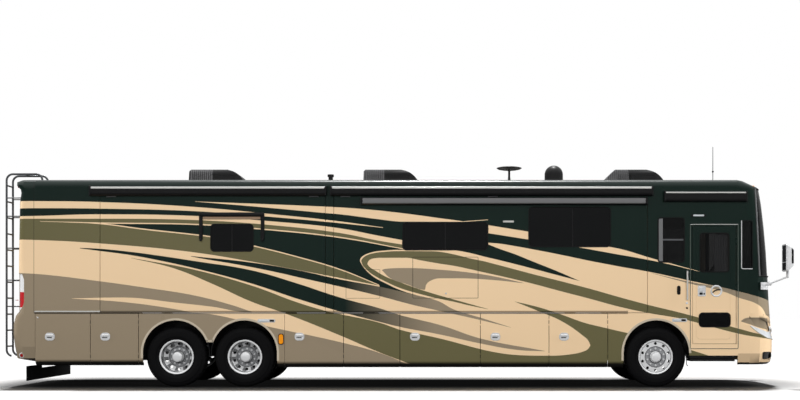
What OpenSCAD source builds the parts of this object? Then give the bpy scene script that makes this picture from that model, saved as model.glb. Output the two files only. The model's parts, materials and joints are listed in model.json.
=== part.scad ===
// Class A motorhome on three axles: rear engine, tag axle, two slide-out rooms on the
// kerb side, one on the road side, side-hinged luggage doors and a steered front axle.
// Millimetres. +X is forward, +Z is up, the kerb side is -Y and the tyres stand on z = 0.

/* [Body] */
// Width over the side panels
body_w = 2565; // [2400:5:2600]
// Height of the flat part of the roof
roof_z = 3598; // [3560:1:3700]
// Height of the belt line: floor of the slide-out rooms, top of the luggage doors
belt_z = 1290; // [1270:1:1320]
// Lower edge of the luggage doors
skirt_z = 341; // [300:1:360]
// Lower edge of the panels behind the rear wheels
tail_skirt_z = 374; // [350:1:400]
// Radius of the lower edge, where the side turns under the body
sill_r = 110; // [70:5:120]
// Thickness of walls and doors
wall_t = 45; // [35:1:55]
// Gap round each slide-out room
gap = 7; // [5:0.5:10]
// Gap at each side of a luggage door
door_gap = 5; // [4:0.5:8]
// Side wall from the rear cap to the rear rooms
rear_quarter = 1128; // [1000:1:1300]
// Side wall from the front room to the entry door
cab_wall = 785; // [760:1:900]
// Reach of the ladder behind the side walls
ladder_reach = 607; // [590:1:640]
// Reach of the mirrors ahead of the side walls
mirror_reach = 901; // [880:1:950]

/* [Slide-out rooms] */
// Length of the rear room on the kerb side
rear_room_len = 3891; // [3000:1:4000]
// Length of the front room on the kerb side
front_room_len = 5422; // [5000:1:5600]
// Wall between the two rooms
room_gap = 152; // [140:1:300]
// Length of the room on the road side
left_room_len = 9000; // [7000:1:9200]
// Top of the rooms
room_top = 3400; // [3300:1:3420]
// Depth of a room, from its outer face inwards
room_depth = 880; // [800:10:900]

/* [Entry door] */
// Width of the door's leaf
door_w = 748; // [700:1:800]
// Height of the door's leaf
door_h = 2036; // [1900:1:2060]
// Lower edge of the leaf
door_z0 = 753; // [720:1:780]

/* [Wheels and axles] */
// Outer radius of a tyre
tyre_r = 520; // [500:1:525]
// Section width of a tyre
tyre_w = 290; // [270:5:300]
// Radius of the rim's flange
rim_r = 298; // [290:1:300]
// Distance from the front cap's seam back to the front axle
front_setback = 1412; // [1405:1:1450]
// Distance between the front axle and the drive axle
wheelbase = 7131; // [6900:1:7300]
// Distance between the drive axle and the tag axle
tag_pitch = 1187; // [1180:1:1300]
// Distance of the outermost tyre faces inside the body's sides
tyre_inset = 50.5; // [40:0.5:70]
// Distance between the centres of twin tyres
twin_pitch = 345; // [335:1:355]
// Distance of each kingpin inside the middle of its tyre
kingpin_offset = 102; // [98:1:106]

/* [Wheel arches] */
// Radius of an arch's opening
arch_r = 571; // [560:1:580]
// Height of an arch's centre
arch_z = 588; // [580:1:595]

/* [Hitch] */
// Inner width of the square hitch receiver
receiver = 51; // [50:0.5:54]
// Diameter of the hitch pin hole
pin_d = 16; // [13:0.5:18]

/* [Hidden] */
seat_gap = 0.3;
half_w = body_w / 2;
wall_in = half_w - wall_t;

// Places along the vehicle, as a chain from the rear cap's seam to the front cap's.
door_edge = 36;
body_len = rear_quarter + rear_room_len + room_gap + front_room_len + cab_wall + door_w + door_edge;
rear_seam_x = (ladder_reach - mirror_reach - body_len) / 2;
front_seam_x = rear_seam_x + body_len;
slide_a0 = rear_seam_x + rear_quarter;
slide_a1 = slide_a0 + rear_room_len;
slide_b0 = slide_a1 + room_gap;
slide_b1 = slide_b0 + front_room_len;
slide_c0 = slide_a0;
slide_c1 = slide_c0 + left_room_len;
door_x0 = slide_b1 + cab_wall;
door_x1 = door_x0 + door_w;
door_z1 = door_z0 + door_h;
front_x = front_seam_x - front_setback;
drive_x = front_x - wheelbase;
tag_x = drive_x - tag_pitch;

// Heights
floor_t = 103;
floor_top = belt_z - gap;
floor_bot = floor_top - floor_t;
skirt_top = belt_z - gap;
bay_top = skirt_top - 6;
step_z = 547;
tray_z = 400;
tray_t = 30;
edge_r = 123;
eave_z = roof_z - edge_r;

// Wheels and frame rails across the vehicle
tyre_y = half_w - tyre_inset - tyre_w / 2;
kingpin_y = tyre_y - kingpin_offset;
twin_y = tyre_y - twin_pitch;
rail_y1 = twin_y - tyre_w / 2 - 127;
rail_y0 = rail_y1 - 80;
rail_y = (rail_y0 + rail_y1) / 2;
rail_z0 = 700;
rail_z1 = 930;
raised_z = floor_bot - 250;
raised_x0 = drive_x + 740;
raised_x1 = front_x - 822;
frame_x0 = rear_seam_x - 252;
frame_x1 = front_seam_x + 416;

// Hinges
hinge_y = -half_w - 2;
hinge_r = 4;
hinge_h = 60;
bay_hinge_z = [skirt_z + sill_r + 50, bay_top - 180];
door_hinge_z = [door_z0 + 200, door_z0 + 950, door_z1 - 300];

// Stairwell inside the entry door
stair_x0 = door_x0 - 35;
stair_x1 = front_seam_x - 2;
stair_y = -half_w + 662;

// Seams of the luggage doors. Between the wheels they keep their shares of the space.
bay_x0 = drive_x + 697;
bay_x1 = front_x - 841;
bay_space = bay_x1 - bay_x0;
rear_bay_x = tag_x - 643;
function bay_seam(share) = bay_x0 + share * bay_space;
bays_right = [[rear_seam_x, (rear_seam_x + rear_bay_x) / 2 + 63], [(rear_seam_x + rear_bay_x) / 2 + 63, rear_bay_x],
              [bay_x0, bay_seam(0.1826)], [bay_seam(0.357), bay_seam(0.606)],
              [bay_seam(0.606), bay_seam(0.8182)], [bay_seam(0.8182), bay_x1]];
bays_left = [for (i = [0:3]) [bay_seam(i / 4), bay_seam((i + 1) / 4)]];

// Front cap: height of each station, its reach ahead of the seam and its inset at the sides.
nose = [[392, 680, 47], [430, 734, 20], [583, 761, 0], [836, 766, 0], [938, 756, 0],
        [1242, 721, 0], [1521, 700, 0], [1951, 676, 0], [2358, 649, 0], [2789, 606, 0],
        [3195, 552, 0], [3424, 506, 0], [3475, 471, 0], [3524, 326, 14], [3576, 186, 57], [3598, 56, 122]];
nose_n = 3.5;

// Rear cap, from its lower edge to the small spoiler at the roof.
tail = [[440, 335, 42], [500, 386, 14], [700, 427, 0], [900, 456, 0], [1100, 452, 0],
        [1230, 412, 0], [1310, 351, 0], [2200, 351, 0], [3200, 332, 0], [3370, 305, 0],
        [3430, 317, 0], [3500, 392, 8], [3560, 402, 43], [3598, 332, 122]];
tail_n = 7;
tail_face = [for (s = tail) [s[0], rear_seam_x - s[1]]];
nose_face = [for (s = nose) [s[0], front_seam_x + s[1]]];
skin_t = 40;

// Windows as [x0, z0, x1, z1, corner radius]
glass_t = 10;
glass_in = 4;
windows_a = [[slide_a1 - 1974, belt_z + 1066, slide_a1 - 1248, belt_z + 1525, 60]];
windows_b = [[slide_b0 + 1195, belt_z + 1089, slide_b0 + 2659, belt_z + 1558, 60],
             [slide_b1 - 2047, belt_z + 1144, slide_b1 - 642, belt_z + 1821, 60]];
windows_c = [[slide_c0 + 1200, belt_z + 1089, slide_c0 + 2200, belt_z + 1558, 60],
             [slide_c0 + 4400, belt_z + 1089, slide_c0 + 5800, belt_z + 1558, 60],
             [slide_c1 - 2000, belt_z + 1144, slide_c1 - 600, belt_z + 1821, 60]];
window_kerb = [slide_b1 + 190, belt_z + 878, door_x0 - 150, belt_z + 1639, 45];
window_road = [slide_b1 + 190, belt_z + 764, front_seam_x - 84, belt_z + 1639, 45];
window_door = [door_x0 + 133, door_z1 - 791, door_x1 - 125, door_z1 - 127, 45];
window_step = [door_x0 + 116, door_z0 + 295, door_x1 - 102, door_z0 + 527, 60];
window_quarter = [front_seam_x + 67, belt_z + 764, front_seam_x + 246, belt_z + 1587, 40];

tan_c = [0.89, 0.77, 0.62];
green_c = [0.08, 0.14, 0.12];
taupe_c = [0.55, 0.49, 0.42];
olive_c = [0.38, 0.36, 0.24];
glass_c = [0.05, 0.06, 0.06];
metal_c = [0.78, 0.78, 0.80];
black_c = [0.07, 0.07, 0.07];
frame_c = [0.16, 0.16, 0.17];
grey_c = [0.45, 0.45, 0.46];
red_c = [0.7, 0.1, 0.1];

// Helpers

// A block given by its lowest and highest corners.
module block(a, b) translate(a) cube([b[0] - a[0], b[1] - a[1], b[2] - a[2]]);

// A side profile drawn in x and z, made solid between two y values.
module side(y0, y1) translate([0, y1, 0]) rotate([90, 0, 0]) linear_extrude(y1 - y0) children();

// A cross profile drawn in y and z, made solid between two x values.
module cross(x0, x1) translate([x0, 0, 0]) rotate([90, 0, 90]) linear_extrude(x1 - x0) children();

// The same thing on both sides of the vehicle.
module both() { children(); mirror([0, 1, 0]) children(); }

// A flat rectangle with rounded corners, from one corner to the other.
module plate(a, b, r) {
    for (x = [a[0] + r, b[0] - r]) for (y = [a[1] + r, b[1] - r]) translate([x, y]) circle(r = r, $fn = 32);
    translate([a[0] + r, a[1]]) square([b[0] - a[0] - 2 * r, b[1] - a[1]]);
    translate([a[0], a[1] + r]) square([b[0] - a[0], b[1] - a[1] - 2 * r]);
}

// Outline of a window, and its pane in the kerb side.
module outline(w) plate([w[0], w[1]], [w[2], w[3]], w[4]);
module pane(w) side(-half_w + glass_in, -half_w + glass_in + glass_t) outline(w);

// A round bar between two points, and a shaft across the vehicle.
module rod(a, b, r) {
    d = b - a;
    translate(a) rotate([0, acos(d[2] / norm(d)), atan2(d[1], d[0])]) cylinder(r = r, h = norm(d), $fn = 32);
}
module shaft(x, z, y0, y1, r) translate([x, y0, z]) rotate([-90, 0, 0]) cylinder(r = r, h = y1 - y0, $fn = 48);

// A wheel profile of [radius, offset], turned about the y axis with its outer side towards +y.
module turned() rotate([-90, 0, 0]) rotate_extrude($fn = 96) children();

// Plan of a cap at one station: straight at the seam, rounded at the two corners.
function ease(v, n) = sign(v) * pow(abs(v), 2 / n);
function plan(seam, x, hw, n) = concat([[seam, -hw], [seam, hw]],
    [for (a = [84:-12:-84]) [seam + (x - seam) * ease(cos(a), n), hw * ease(sin(a), n)]]);

// A cap lofted through its stations; inset moves its skin inwards all round.
module loft(stations, seam, n, inset, over) {
    s = sign(seam);
    last = len(stations) - 1;
    for (i = [0:last - 1]) hull() for (k = [i, i + 1]) {
        st = stations[k];
        z = k == 0 ? st[0] - (inset > 0 ? 5 : 0) : k == last ? st[0] - inset : st[0];
        translate([0, 0, z]) linear_extrude(0.2)
            polygon(plan(seam - s * over, seam + s * (st[1] - inset), half_w - st[2] - inset, n));
    }
}
module nose_skin(t0, t1) difference() {
    loft(nose, front_seam_x, nose_n, t0, 0);
    loft(nose, front_seam_x, nose_n, t1, 5);
}
module tail_skin(t0, t1) difference() {
    loft(tail, rear_seam_x, tail_n, t0, 0);
    loft(tail, rear_seam_x, tail_n, t1, 5);
}

// Chassis

// Ladder frame with raised rails over the luggage bays, its cross members fitted between.
module chassis_frame() color(frame_c) {
    both() side(rail_y0, rail_y1) polygon([[frame_x0, rail_z0], [raised_x0 - 300, rail_z0],
        [raised_x0, raised_z], [raised_x0, floor_bot - seat_gap], [raised_x0 - 200, floor_bot - seat_gap],
        [raised_x0 - 500, rail_z1], [frame_x0, rail_z1]]);
    both() block([raised_x0 + seat_gap, rail_y0, raised_z], [raised_x1 - seat_gap, rail_y1, floor_bot - seat_gap]);
    both() side(rail_y0, rail_y1) polygon([[frame_x1, rail_z0], [raised_x1 + 300, rail_z0],
        [raised_x1, raised_z], [raised_x1, floor_bot - seat_gap], [raised_x1 + 200, floor_bot - seat_gap],
        [raised_x1 + 500, rail_z1], [frame_x1, rail_z1]]);
    for (x = [frame_x0 + 80, tag_x - 604, tag_x + 596, drive_x + 500, front_x + 628, frame_x1 - 100])
        cross_member(x, rail_z0 + 40);
    for (i = [1:4]) cross_member(raised_x0 + i * (raised_x1 - raised_x0) / 5, raised_z + 70);
    // pads between the low rails and the floor
    both() for (x = [frame_x0 + 180, tag_x - 604, tag_x + 596, front_x - 160, front_x + 628, frame_x1 - 150])
        block([x - 40, rail_y0, rail_z1 + seat_gap], [x + 40, rail_y1, floor_bot - seat_gap]);
    block([frame_x0, -rail_y0 + seat_gap, rail_z0 - 10], [frame_x0 + 34, rail_y0 - seat_gap, rail_z1]);
}
module cross_member(x, z) block([x - 40, -rail_y0 + seat_gap, z], [x + 40, rail_y0 - seat_gap, z + 120]);

// Square receiver tube for a tow bar or rack below the rear cap, with its cross pin hole.
hitch_x = rear_seam_x - 412;
hitch_z = 430;
hitch_wall = 6.5;
module hitch_receiver() color(frame_c) difference() {
    outer = receiver / 2 + hitch_wall;
    union() {
        block([hitch_x, -outer, hitch_z - outer], [hitch_x + 330, outer, hitch_z + outer]);
        both() block([frame_x0, outer, hitch_z - outer], [frame_x0 + 170, outer + 20, rail_z0 - 10 - seat_gap]);
        both() block([frame_x0, outer, hitch_z + outer], [frame_x0 + 34, outer + 160, rail_z0 - 10 - seat_gap]);
    }
    block([hitch_x - 10, -receiver / 2, hitch_z - receiver / 2], [hitch_x + 310, receiver / 2, hitch_z + receiver / 2]);
    shaft(hitch_x + 80, hitch_z, -60, 60, pin_d / 2);
}

// Axle parts
spring_r = 105;
spindle_r = 40;
hub_end = 8;
module air_spring(x, z0) translate([x, rail_y, z0]) {
    cylinder(r = spring_r, h = 30, $fn = 48);
    translate([0, 0, 29]) cylinder(r = spring_r - 15, h = rail_z0 - seat_gap - z0 - 58, $fn = 48);
    translate([0, 0, rail_z0 - seat_gap - z0 - 30]) cylinder(r = spring_r, h = 30, $fn = 48);
}
module axles() color(grey_c) {
    front_beam();
    drive_axle();
    tag_axle();
}
module front_beam() difference() {
    union() {
        block([front_x - 45, -rail_y1, 350], [front_x + 45, rail_y1, 440]);
        both() rod([front_x, rail_y1 - 20, 397], [front_x, kingpin_y - 30, 432], 44);
        both() translate([front_x, kingpin_y, 370]) cylinder(r = 45, h = 130, $fn = 48);
        both() block([front_x - 120, rail_y - 100, 430], [front_x + 120, rail_y + 100, 470]);
        both() air_spring(front_x, 465);
    }
    both() translate([front_x, kingpin_y, 360]) cylinder(r = kingpin_r + 0.5, h = 150, $fn = 48);
}
module drive_axle() {
    housing_end = twin_y + 32;
    shaft(drive_x, tyre_r, -housing_end, housing_end, 62);
    both() shaft(drive_x, tyre_r, housing_end - 60, tyre_y + hub_end, spindle_r);
    translate([drive_x, 0, tyre_r]) sphere(r = 190, $fn = 48);
    translate([drive_x - 150, 0, tyre_r]) rotate([0, -90, 0]) cylinder(r1 = 110, r2 = 70, h = 190, $fn = 48);
    rod([drive_x - 330, 0, tyre_r], [tag_x - 804 + seat_gap + 4, 0, tyre_r + 120], 45);
    both() block([drive_x - 320, rail_y - 30, tyre_r - 40], [drive_x + 60, rail_y + 30, tyre_r + 55]);
    both() block([drive_x - 320, rail_y - 100, tyre_r + 20], [drive_x - 80, rail_y + 90, tyre_r + 55]);
    both() air_spring(drive_x - 200, tyre_r + 50);
    // brake chambers behind the axle
    both() shaft(drive_x - 150, tyre_r - 110, rail_y - 40, rail_y + 100, 78);
    both() block([drive_x - 170, rail_y - 30, tyre_r - 100], [drive_x - 20, rail_y + 30, tyre_r - 30]);
}
// Dropped in the middle, so that the propeller shaft passes over it.
module tag_axle() {
    drop_z = tyre_r - 130;
    shaft(tag_x, drop_z, -rail_y1, rail_y1, 50);
    both() block([tag_x - 50, rail_y1 - 60, drop_z - 50], [tag_x + 50, rail_y1 + 20, tyre_r + 60]);
    both() shaft(tag_x, tyre_r, rail_y1 + 10, tyre_y - 180, 55);
    both() shaft(tag_x, tyre_r, tyre_y - 240, tyre_y + hub_end, spindle_r);
    both() block([tag_x - 120, rail_y - 100, tyre_r + 30], [tag_x + 120, rail_y + 90, tyre_r + 75]);
    both() air_spring(tag_x, tyre_r + 70);
}

module engine_block() color(grey_c)
    block([rear_seam_x - 12, -rail_y0 + seat_gap, 520], [tag_x - 804, rail_y0 - seat_gap, floor_bot - 30]);

// Floor and luggage bays

module floor() color(grey_c) {
    difference() {
        block([rear_seam_x, -wall_in + seat_gap, floor_bot], [front_seam_x + 420, wall_in - seat_gap, floor_top]);
        block([stair_x0 - seat_gap, -wall_in - 1, floor_bot - 1], [stair_x1 + seat_gap, stair_y + seat_gap, floor_top + 1]);
        // corners cut back inside the front cap
        both() translate([front_seam_x + 60, wall_in - 60, floor_bot - 1]) rotate(-28) block([0, 0, 0], [700, 500, floor_t + 30]);
    }
    // rollers that carry the slide-out rooms at their sills
    for (x = [slide_a0 + 500, slide_a1 - 700, slide_b0 + 500, slide_b1 - 700]) room_roller(x);
    for (x = [slide_c0 + 500, (slide_c0 + slide_c1) / 2, slide_c1 - 700]) mirror([0, 1, 0]) room_roller(x);
}
module room_roller(x) translate([x, -wall_in + 60, belt_z - seat_gap - 30]) rotate([0, 90, 0])
    cylinder(r = 30, h = 200, $fn = 48);

// A cross wall of the luggage bays at a seam. It is cut back where the doors turn under,
// and leaves the frame rails free.
tray_edge = half_w - sill_r - 10;
wall_edge = wall_in - 5;
low_wall_top = rail_z0 - 20;
module bay_wall(x, low_z) {
    lip_z = skirt_z + sill_r + 10;
    block([x - 15, -tray_edge, tray_z + tray_t + seat_gap], [x + 15, tray_edge, lip_z]);
    block([x - 15, -wall_edge, lip_z + seat_gap], [x + 15, wall_edge, low_z]);
    both() block([x - 15, rail_y1 + 20, low_z + seat_gap], [x + 15, wall_edge, floor_bot - seat_gap]);
}
module basement() color(grey_c) {
    block([bay_x0 + 5, -tray_edge, tray_z], [bay_x1 - 5, tray_edge, tray_z + tray_t]);
    for (x = [bay_x0 + 20, bays_right[2][1], bays_right[3][0], bays_right[4][0], bays_right[5][0], bay_x1 - 5])
        bay_wall(x, x < raised_x0 || x > raised_x1 ? low_wall_top : raised_z - 10);
    service_bays();
    // fixed halves of the luggage doors' hinges
    for (b = bays_right) for (z = bay_hinge_z) bay_hinge(b[1], z);
    for (b = bays_left) for (z = bay_hinge_z) mirror([0, 1, 0]) bay_hinge(b[1], z);
    stairwell();
}
module service_bays() {
    base = tail_skirt_z + 79;
    y0 = rail_y1 + seat_gap;
    both() block([rear_seam_x + 6, y0, base], [rear_bay_x + 15, tray_edge, base + tray_t]);
    both() for (x = [rear_seam_x + 6, bays_right[0][1] - 15, rear_bay_x - 15])
        block([x, y0, base + tray_t + seat_gap], [x + 30, wall_edge, floor_bot - seat_gap]);
}
module bay_hinge(x, z) {
    translate([x, hinge_y, z]) cylinder(r = hinge_r, h = hinge_h, $fn = 24);
    block([x - 2, hinge_y, z], [x + 2, -wall_edge - seat_gap, z + hinge_h]);
}
// Two steps down to the entry door.
module stairwell() difference() {
    block([stair_x0, -wall_in + seat_gap, 650], [stair_x1, stair_y, floor_top]);
    block([stair_x0 + 20, -wall_in - 1, 690], [stair_x1 - 20, -half_w + 272, floor_top + 1]);
    block([stair_x0 + 20, -half_w + 267, 960], [stair_x1 - 20, stair_y - 20, floor_top + 1]);
}

// Side panels

module arch(x) translate([x, arch_z]) circle(r = arch_r, $fn = 96);

// Wall of the kerb side, with the fixed halves of the entry door's hinges.
module wall_right() color(tan_c) {
    for (z = door_hinge_z) {
        translate([door_x1 + 5, hinge_y, z]) cylinder(r = hinge_r, h = hinge_h, $fn = 24);
        block([door_x1 + 5, hinge_y, z], [door_x1 + 14, -half_w + 4, z + hinge_h]);
    }
    side(-half_w, -wall_in) difference() {
        wall_outline();
        translate([slide_a0 - gap, skirt_top - 1]) square([rear_room_len + 2 * gap, room_top + gap - skirt_top + 1]);
        translate([slide_b0 - gap, skirt_top - 1]) square([front_room_len + 2 * gap, room_top + gap - skirt_top + 1]);
        translate([door_x0 - 6, door_z0 - 6]) square([door_w + 16, door_h + 12]);
        outline(window_kerb);
    }
}
module wall_outline() {
    translate([rear_seam_x, skirt_top]) square([body_len, eave_z - skirt_top]);
    translate([door_x0 - 41, step_z]) square([front_seam_x - door_x0 + 41, skirt_top - step_z + 1]);
}
module wall_left() color(tan_c) side(wall_in, half_w) difference() {
    wall_outline();
    translate([slide_c0 - gap, skirt_top - 1]) square([left_room_len + 2 * gap, room_top + gap - skirt_top + 1]);
    outline(window_road);
}

// Section of a side panel that turns under the body at its lower edge.
module sill_section(z0) {
    translate([-half_w, z0 + sill_r]) square([wall_t, skirt_top - z0 - sill_r]);
    intersection() {
        translate([-half_w - 1, z0 - 1]) square([sill_r + 1, sill_r + 1]);
        translate([-half_w + sill_r, z0 + sill_r]) difference() {
            circle(r = sill_r, $fn = 96);
            circle(r = sill_r - wall_t, $fn = 96);
        }
    }
}

cusp_z = arch_z + 194;
module skirt_cuts() side(-half_w - 1, -half_w + sill_r + 1) {
    for (x = [tag_x, drive_x, front_x]) {
        arch(x);
        translate([x - arch_r, 0]) square([2 * arch_r, arch_z]);
    }
    translate([tag_x, 0]) square([tag_pitch, cusp_z]);
    translate([front_x, 0]) square([door_x0 - front_x, step_z]);
}
module skirts() color(taupe_c) {
    difference() {
        union() {
            cross(rear_bay_x + 5, (tag_x + drive_x) / 2) sill_section(tail_skirt_z);
            cross((tag_x + drive_x) / 2, bay_x0) sill_section(skirt_z);
            cross(bays_right[2][1] + 5, bays_right[3][0] - 5) sill_section(skirt_z);
            cross(bay_x1 + 5, door_x0 - 41) sill_section(skirt_z);
        }
        skirt_cuts();
    }
    mirror([0, 1, 0]) difference() {
        union() {
            cross(rear_seam_x, (tag_x + drive_x) / 2) sill_section(tail_skirt_z);
            cross((tag_x + drive_x) / 2, bay_x0) sill_section(skirt_z);
            cross(bay_x1 + 5, door_x0 - 41) sill_section(skirt_z);
        }
        skirt_cuts();
        side(-half_w - 1, -wall_in + 1) plate([louvre_x0, louvre_z0], [louvre_x1, louvre_z1], 30);
    }
    louvres();
    both() wheel_house([front_x]);
    both() wheel_house([tag_x, drive_x]);
}

// Air inlet of the radiator in the road side's rear panel: sloping blades in an opening.
louvre_x0 = rear_seam_x + 200;
louvre_x1 = rear_bay_x - 200;
louvre_z0 = tail_skirt_z + 150;
louvre_z1 = skirt_top - 120;
blade_pitch = 52;
module louvres() {
    block([louvre_x0 - 10, wall_edge + 1, louvre_z0 - 10], [louvre_x1 + 10, wall_in + 2, louvre_z1 + 10]);
    for (z = [louvre_z0 + 26:blade_pitch:louvre_z1 - 40]) cross(louvre_x0 - 4, louvre_x1 + 4)
        polygon([[half_w - 46, z + 24], [half_w - 34, z + 30], [half_w - 5, z + 4], [half_w - 9, z - 2]]);
}

// Inner wheel house: an arched shell from the side panel to the frame, flat under the floor.
house_t = 12;
house_y = rail_y1 + 40;
module wheel_house(axle_xs) {
    side(house_y, wall_in - seat_gap) difference() {
        house_outline(axle_xs, house_t, floor_bot - seat_gap, arch_z - 60);
        house_outline(axle_xs, 0, floor_bot - seat_gap - house_t, 0);
    }
    side(house_y, house_y + house_t) house_outline(axle_xs, house_t, floor_bot - seat_gap, rail_z0 + 20);
}
module house_outline(axle_xs, grow, top, base) intersection() {
    for (x = axle_xs) translate([x, arch_z]) circle(r = arch_r + grow, $fn = 96);
    translate([axle_xs[0] - 2000, base]) square([5000, top - base]);
}

// Half of the roof's cross section: flat middle, rounded edge.
module roof_profile(inset) {
    for (s = [-1, 1]) translate([s * (half_w - edge_r), eave_z]) intersection() {
        circle(r = edge_r - inset, $fn = 64);
        translate([-200, 0]) square([400, 200]);
    }
    translate([-(half_w - edge_r), eave_z]) square([2 * (half_w - edge_r), edge_r - inset]);
}
module roof() color(green_c) cross(rear_seam_x, front_seam_x) difference() {
    roof_profile(0);
    translate([0, -10]) roof_profile(55);
    translate([-half_w + 60, eave_z - 1]) square([2 * half_w - 120, 40]);
}

// Moulded caps

// Outlines of the openings in the front cap, as seen from the side.
module windshield_zone(grow) side(-1400, 1400) polygon([
    [front_seam_x + 316 - grow, 3446 + grow], [front_seam_x + 389 - grow, 1924 - grow],
    [front_seam_x + 970, 1924 - grow], [front_seam_x + 970, 3446 + grow]]);
module corners_only() difference() { children(); block([0, -765, 0], [9000, 765, 4000]); }
module lamp_zone(grow) corners_only() side(-1400, 1400) polygon([
    [front_seam_x + 212 - grow, 1072 + grow], [front_seam_x + 536, 955 + grow],
    [front_seam_x + 900, 925 + grow], [front_seam_x + 900, 820 - grow], [front_seam_x + 536, 862 - grow],
    [front_seam_x + 350, 955 - grow]]);
module brow_zone() corners_only() side(-1400, 1400) polygon([
    [front_seam_x + 69, 1130], [front_seam_x + 126, 1172], [front_seam_x + 216, 1192],
    [front_seam_x + 366, 1190], [front_seam_x + 546, 1125], [front_seam_x + 900, 1090],
    [front_seam_x + 900, 900], [front_seam_x + 536, 940], [front_seam_x + 216, 1060],
    [front_seam_x + 126, 1085]]);
module fog_zone(grow) corners_only() side(-1400, 1400)
    plate([front_seam_x + 440 - grow, 477 - grow], [front_seam_x + 900, 609 + grow], 30);

grille_y = 600;
grille_z0 = 520;
grille_z1 = 800;
brow_t = 14;
lamp_in = 8;
module front_cap() color(tan_c) {
    difference() {
        nose_skin(0, skin_t);
        windshield_zone(0);
        both() side(half_w - 60, half_w + 1) outline(window_quarter);
        intersection() { nose_skin(-30, brow_t); brow_zone(); }
        lamp_zone(3 + seat_gap);
        fog_zone(0);
        block([front_seam_x + 400, -grille_y, grille_z0], [front_seam_x + 900, grille_y, grille_z1]);
    }
    // panel behind the lower grille, and its bars
    block([front_seam_x + 685, -grille_y - 10, grille_z0 - 10], [front_seam_x + 712, grille_y + 10, grille_z1 + 10]);
    for (z = [grille_z0 + 34:48:grille_z1 - 20]) {
        x = lookup(z, nose_face);
        block([x - 36, -grille_y - 6, z], [x - 16, grille_y + 6, z + 16]);
    }
    for (y = [-300, 0, 300]) block([lookup(grille_z0, nose_face) - 38, y - 6, grille_z0 - 3],
        [lookup(grille_z1, nose_face) - 26, y + 6, grille_z1 + 3]);
}
module windshield() difference() {
    intersection() {
        nose_skin(3, 14);
        windshield_zone(-0.5);
    }
    block([front_seam_x, -2.5, 1900], [front_seam_x + 900, 2.5, 3500]);
}
module quarter_panes() intersection() {
    nose_skin(5, 15);
    both() side(half_w - 80, half_w + 1) outline(window_quarter);
}
module head_lamps() color(metal_c) {
    intersection() { nose_skin(lamp_in, 50); lamp_zone(3); }
    intersection() { nose_skin(24, 60); fog_zone(-seat_gap); }
}

lamp_y = half_w - 162.5;
module lamp_pocket(fit) both() block([rear_seam_x - 500, lamp_y + fit, 1280 + fit],
    [rear_seam_x - 192 - fit, half_w + 120, 1960 - fit]);
vent_y = 700;
vent_z0 = 860;
vent_z1 = 1180;
module rear_cap() color(tan_c) {
    difference() {
        tail_skin(0, skin_t);
        lamp_pocket(0);
        // lower edge rises to the rear
        side(-1400, 1400) polygon([[rear_seam_x + 1, 400], [rear_seam_x + 1, 446], [rear_seam_x - 330, 500],
            [rear_seam_x - 600, 510], [rear_seam_x - 600, 400]]);
        block([rear_seam_x - 600, -vent_y, vent_z0], [rear_seam_x - 400, vent_y, vent_z1]);
        // joint round the engine's lid
        groove = lookup(700, tail_face);
        for (y = [-830, 824]) block([groove - 60, y, 600], [groove + 5, y + 6, 1246]);
        block([groove - 60, -830, 600], [groove + 5, 830, 606]);
        block([lookup(1240, tail_face) - 60, -830, 1240], [lookup(1240, tail_face) + 5, 830, 1246]);
    }
    // sloping blades of the engine's air outlet
    for (z = [vent_z0 + 30:42:vent_z1 - 20]) {
        x = lookup(z, tail_face);
        side(-vent_y - 4, vent_y + 4) polygon([[x + 34, z + 18], [x + 34, z + 24], [x + 6, z + 2], [x + 6, z - 4]]);
    }
}
module tail_lamps() color(red_c) intersection() {
    tail_skin(12, 60);
    lamp_pocket(seat_gap);
}

module cab_glass() color(glass_c) {
    windshield();
    quarter_panes();
    pane(window_kerb);
    mirror([0, 1, 0]) pane(window_road);
}

// Roof equipment

// Shroud of a roof unit: upright at the rear, falling in a curve at the front, with a
// ribbed rear third. chamfer cuts the upper rear corner.
ac_h = 290;
ac_w = 680;
module air_conditioner(x0, x1, chamfer) difference() {
    intersection() {
        side(-ac_w / 2, ac_w / 2) {
            polygon([[x0, roof_z], [x0 + 8, roof_z + ac_h - chamfer], [x0 + 8 + chamfer, roof_z + ac_h],
                [x1 - 330, roof_z + ac_h], [x1 - 330, roof_z]]);
            translate([x1 - 330, roof_z]) intersection() {
                translate([-0.01, 0]) square([400, ac_h]);
                translate([-60, -110]) circle(r = ac_h + 110, $fn = 96);
            }
        }
        cross(x0 - 10, x1 + 100) polygon([[-ac_w / 2, roof_z], [-ac_w / 2 + 25, roof_z + ac_h - 60],
            [-ac_w / 2 + 70, roof_z + ac_h], [ac_w / 2 - 70, roof_z + ac_h], [ac_w / 2 - 25, roof_z + ac_h - 60],
            [ac_w / 2, roof_z]]);
    }
    for (i = [0:6]) both() block([x0 + chamfer + 50 + i * 38, ac_w / 2 - 35, roof_z + 45],
        [x0 + chamfer + 66 + i * 38, ac_w / 2 + 1, roof_z + 195]);
    both() side(ac_w / 2 - 31, ac_w / 2 + 1) plate([x0 + chamfer + 340, roof_z + 50], [x1 - 190, roof_z + 190], 40);
}
module air_conditioners() color(black_c) {
    air_conditioner(rear_seam_x + 2457, rear_seam_x + 3489, 30);
    air_conditioner(rear_seam_x + 5618, rear_seam_x + 6645, 30);
    air_conditioner(front_seam_x - 2134, front_seam_x - 1067, 150);
}
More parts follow.
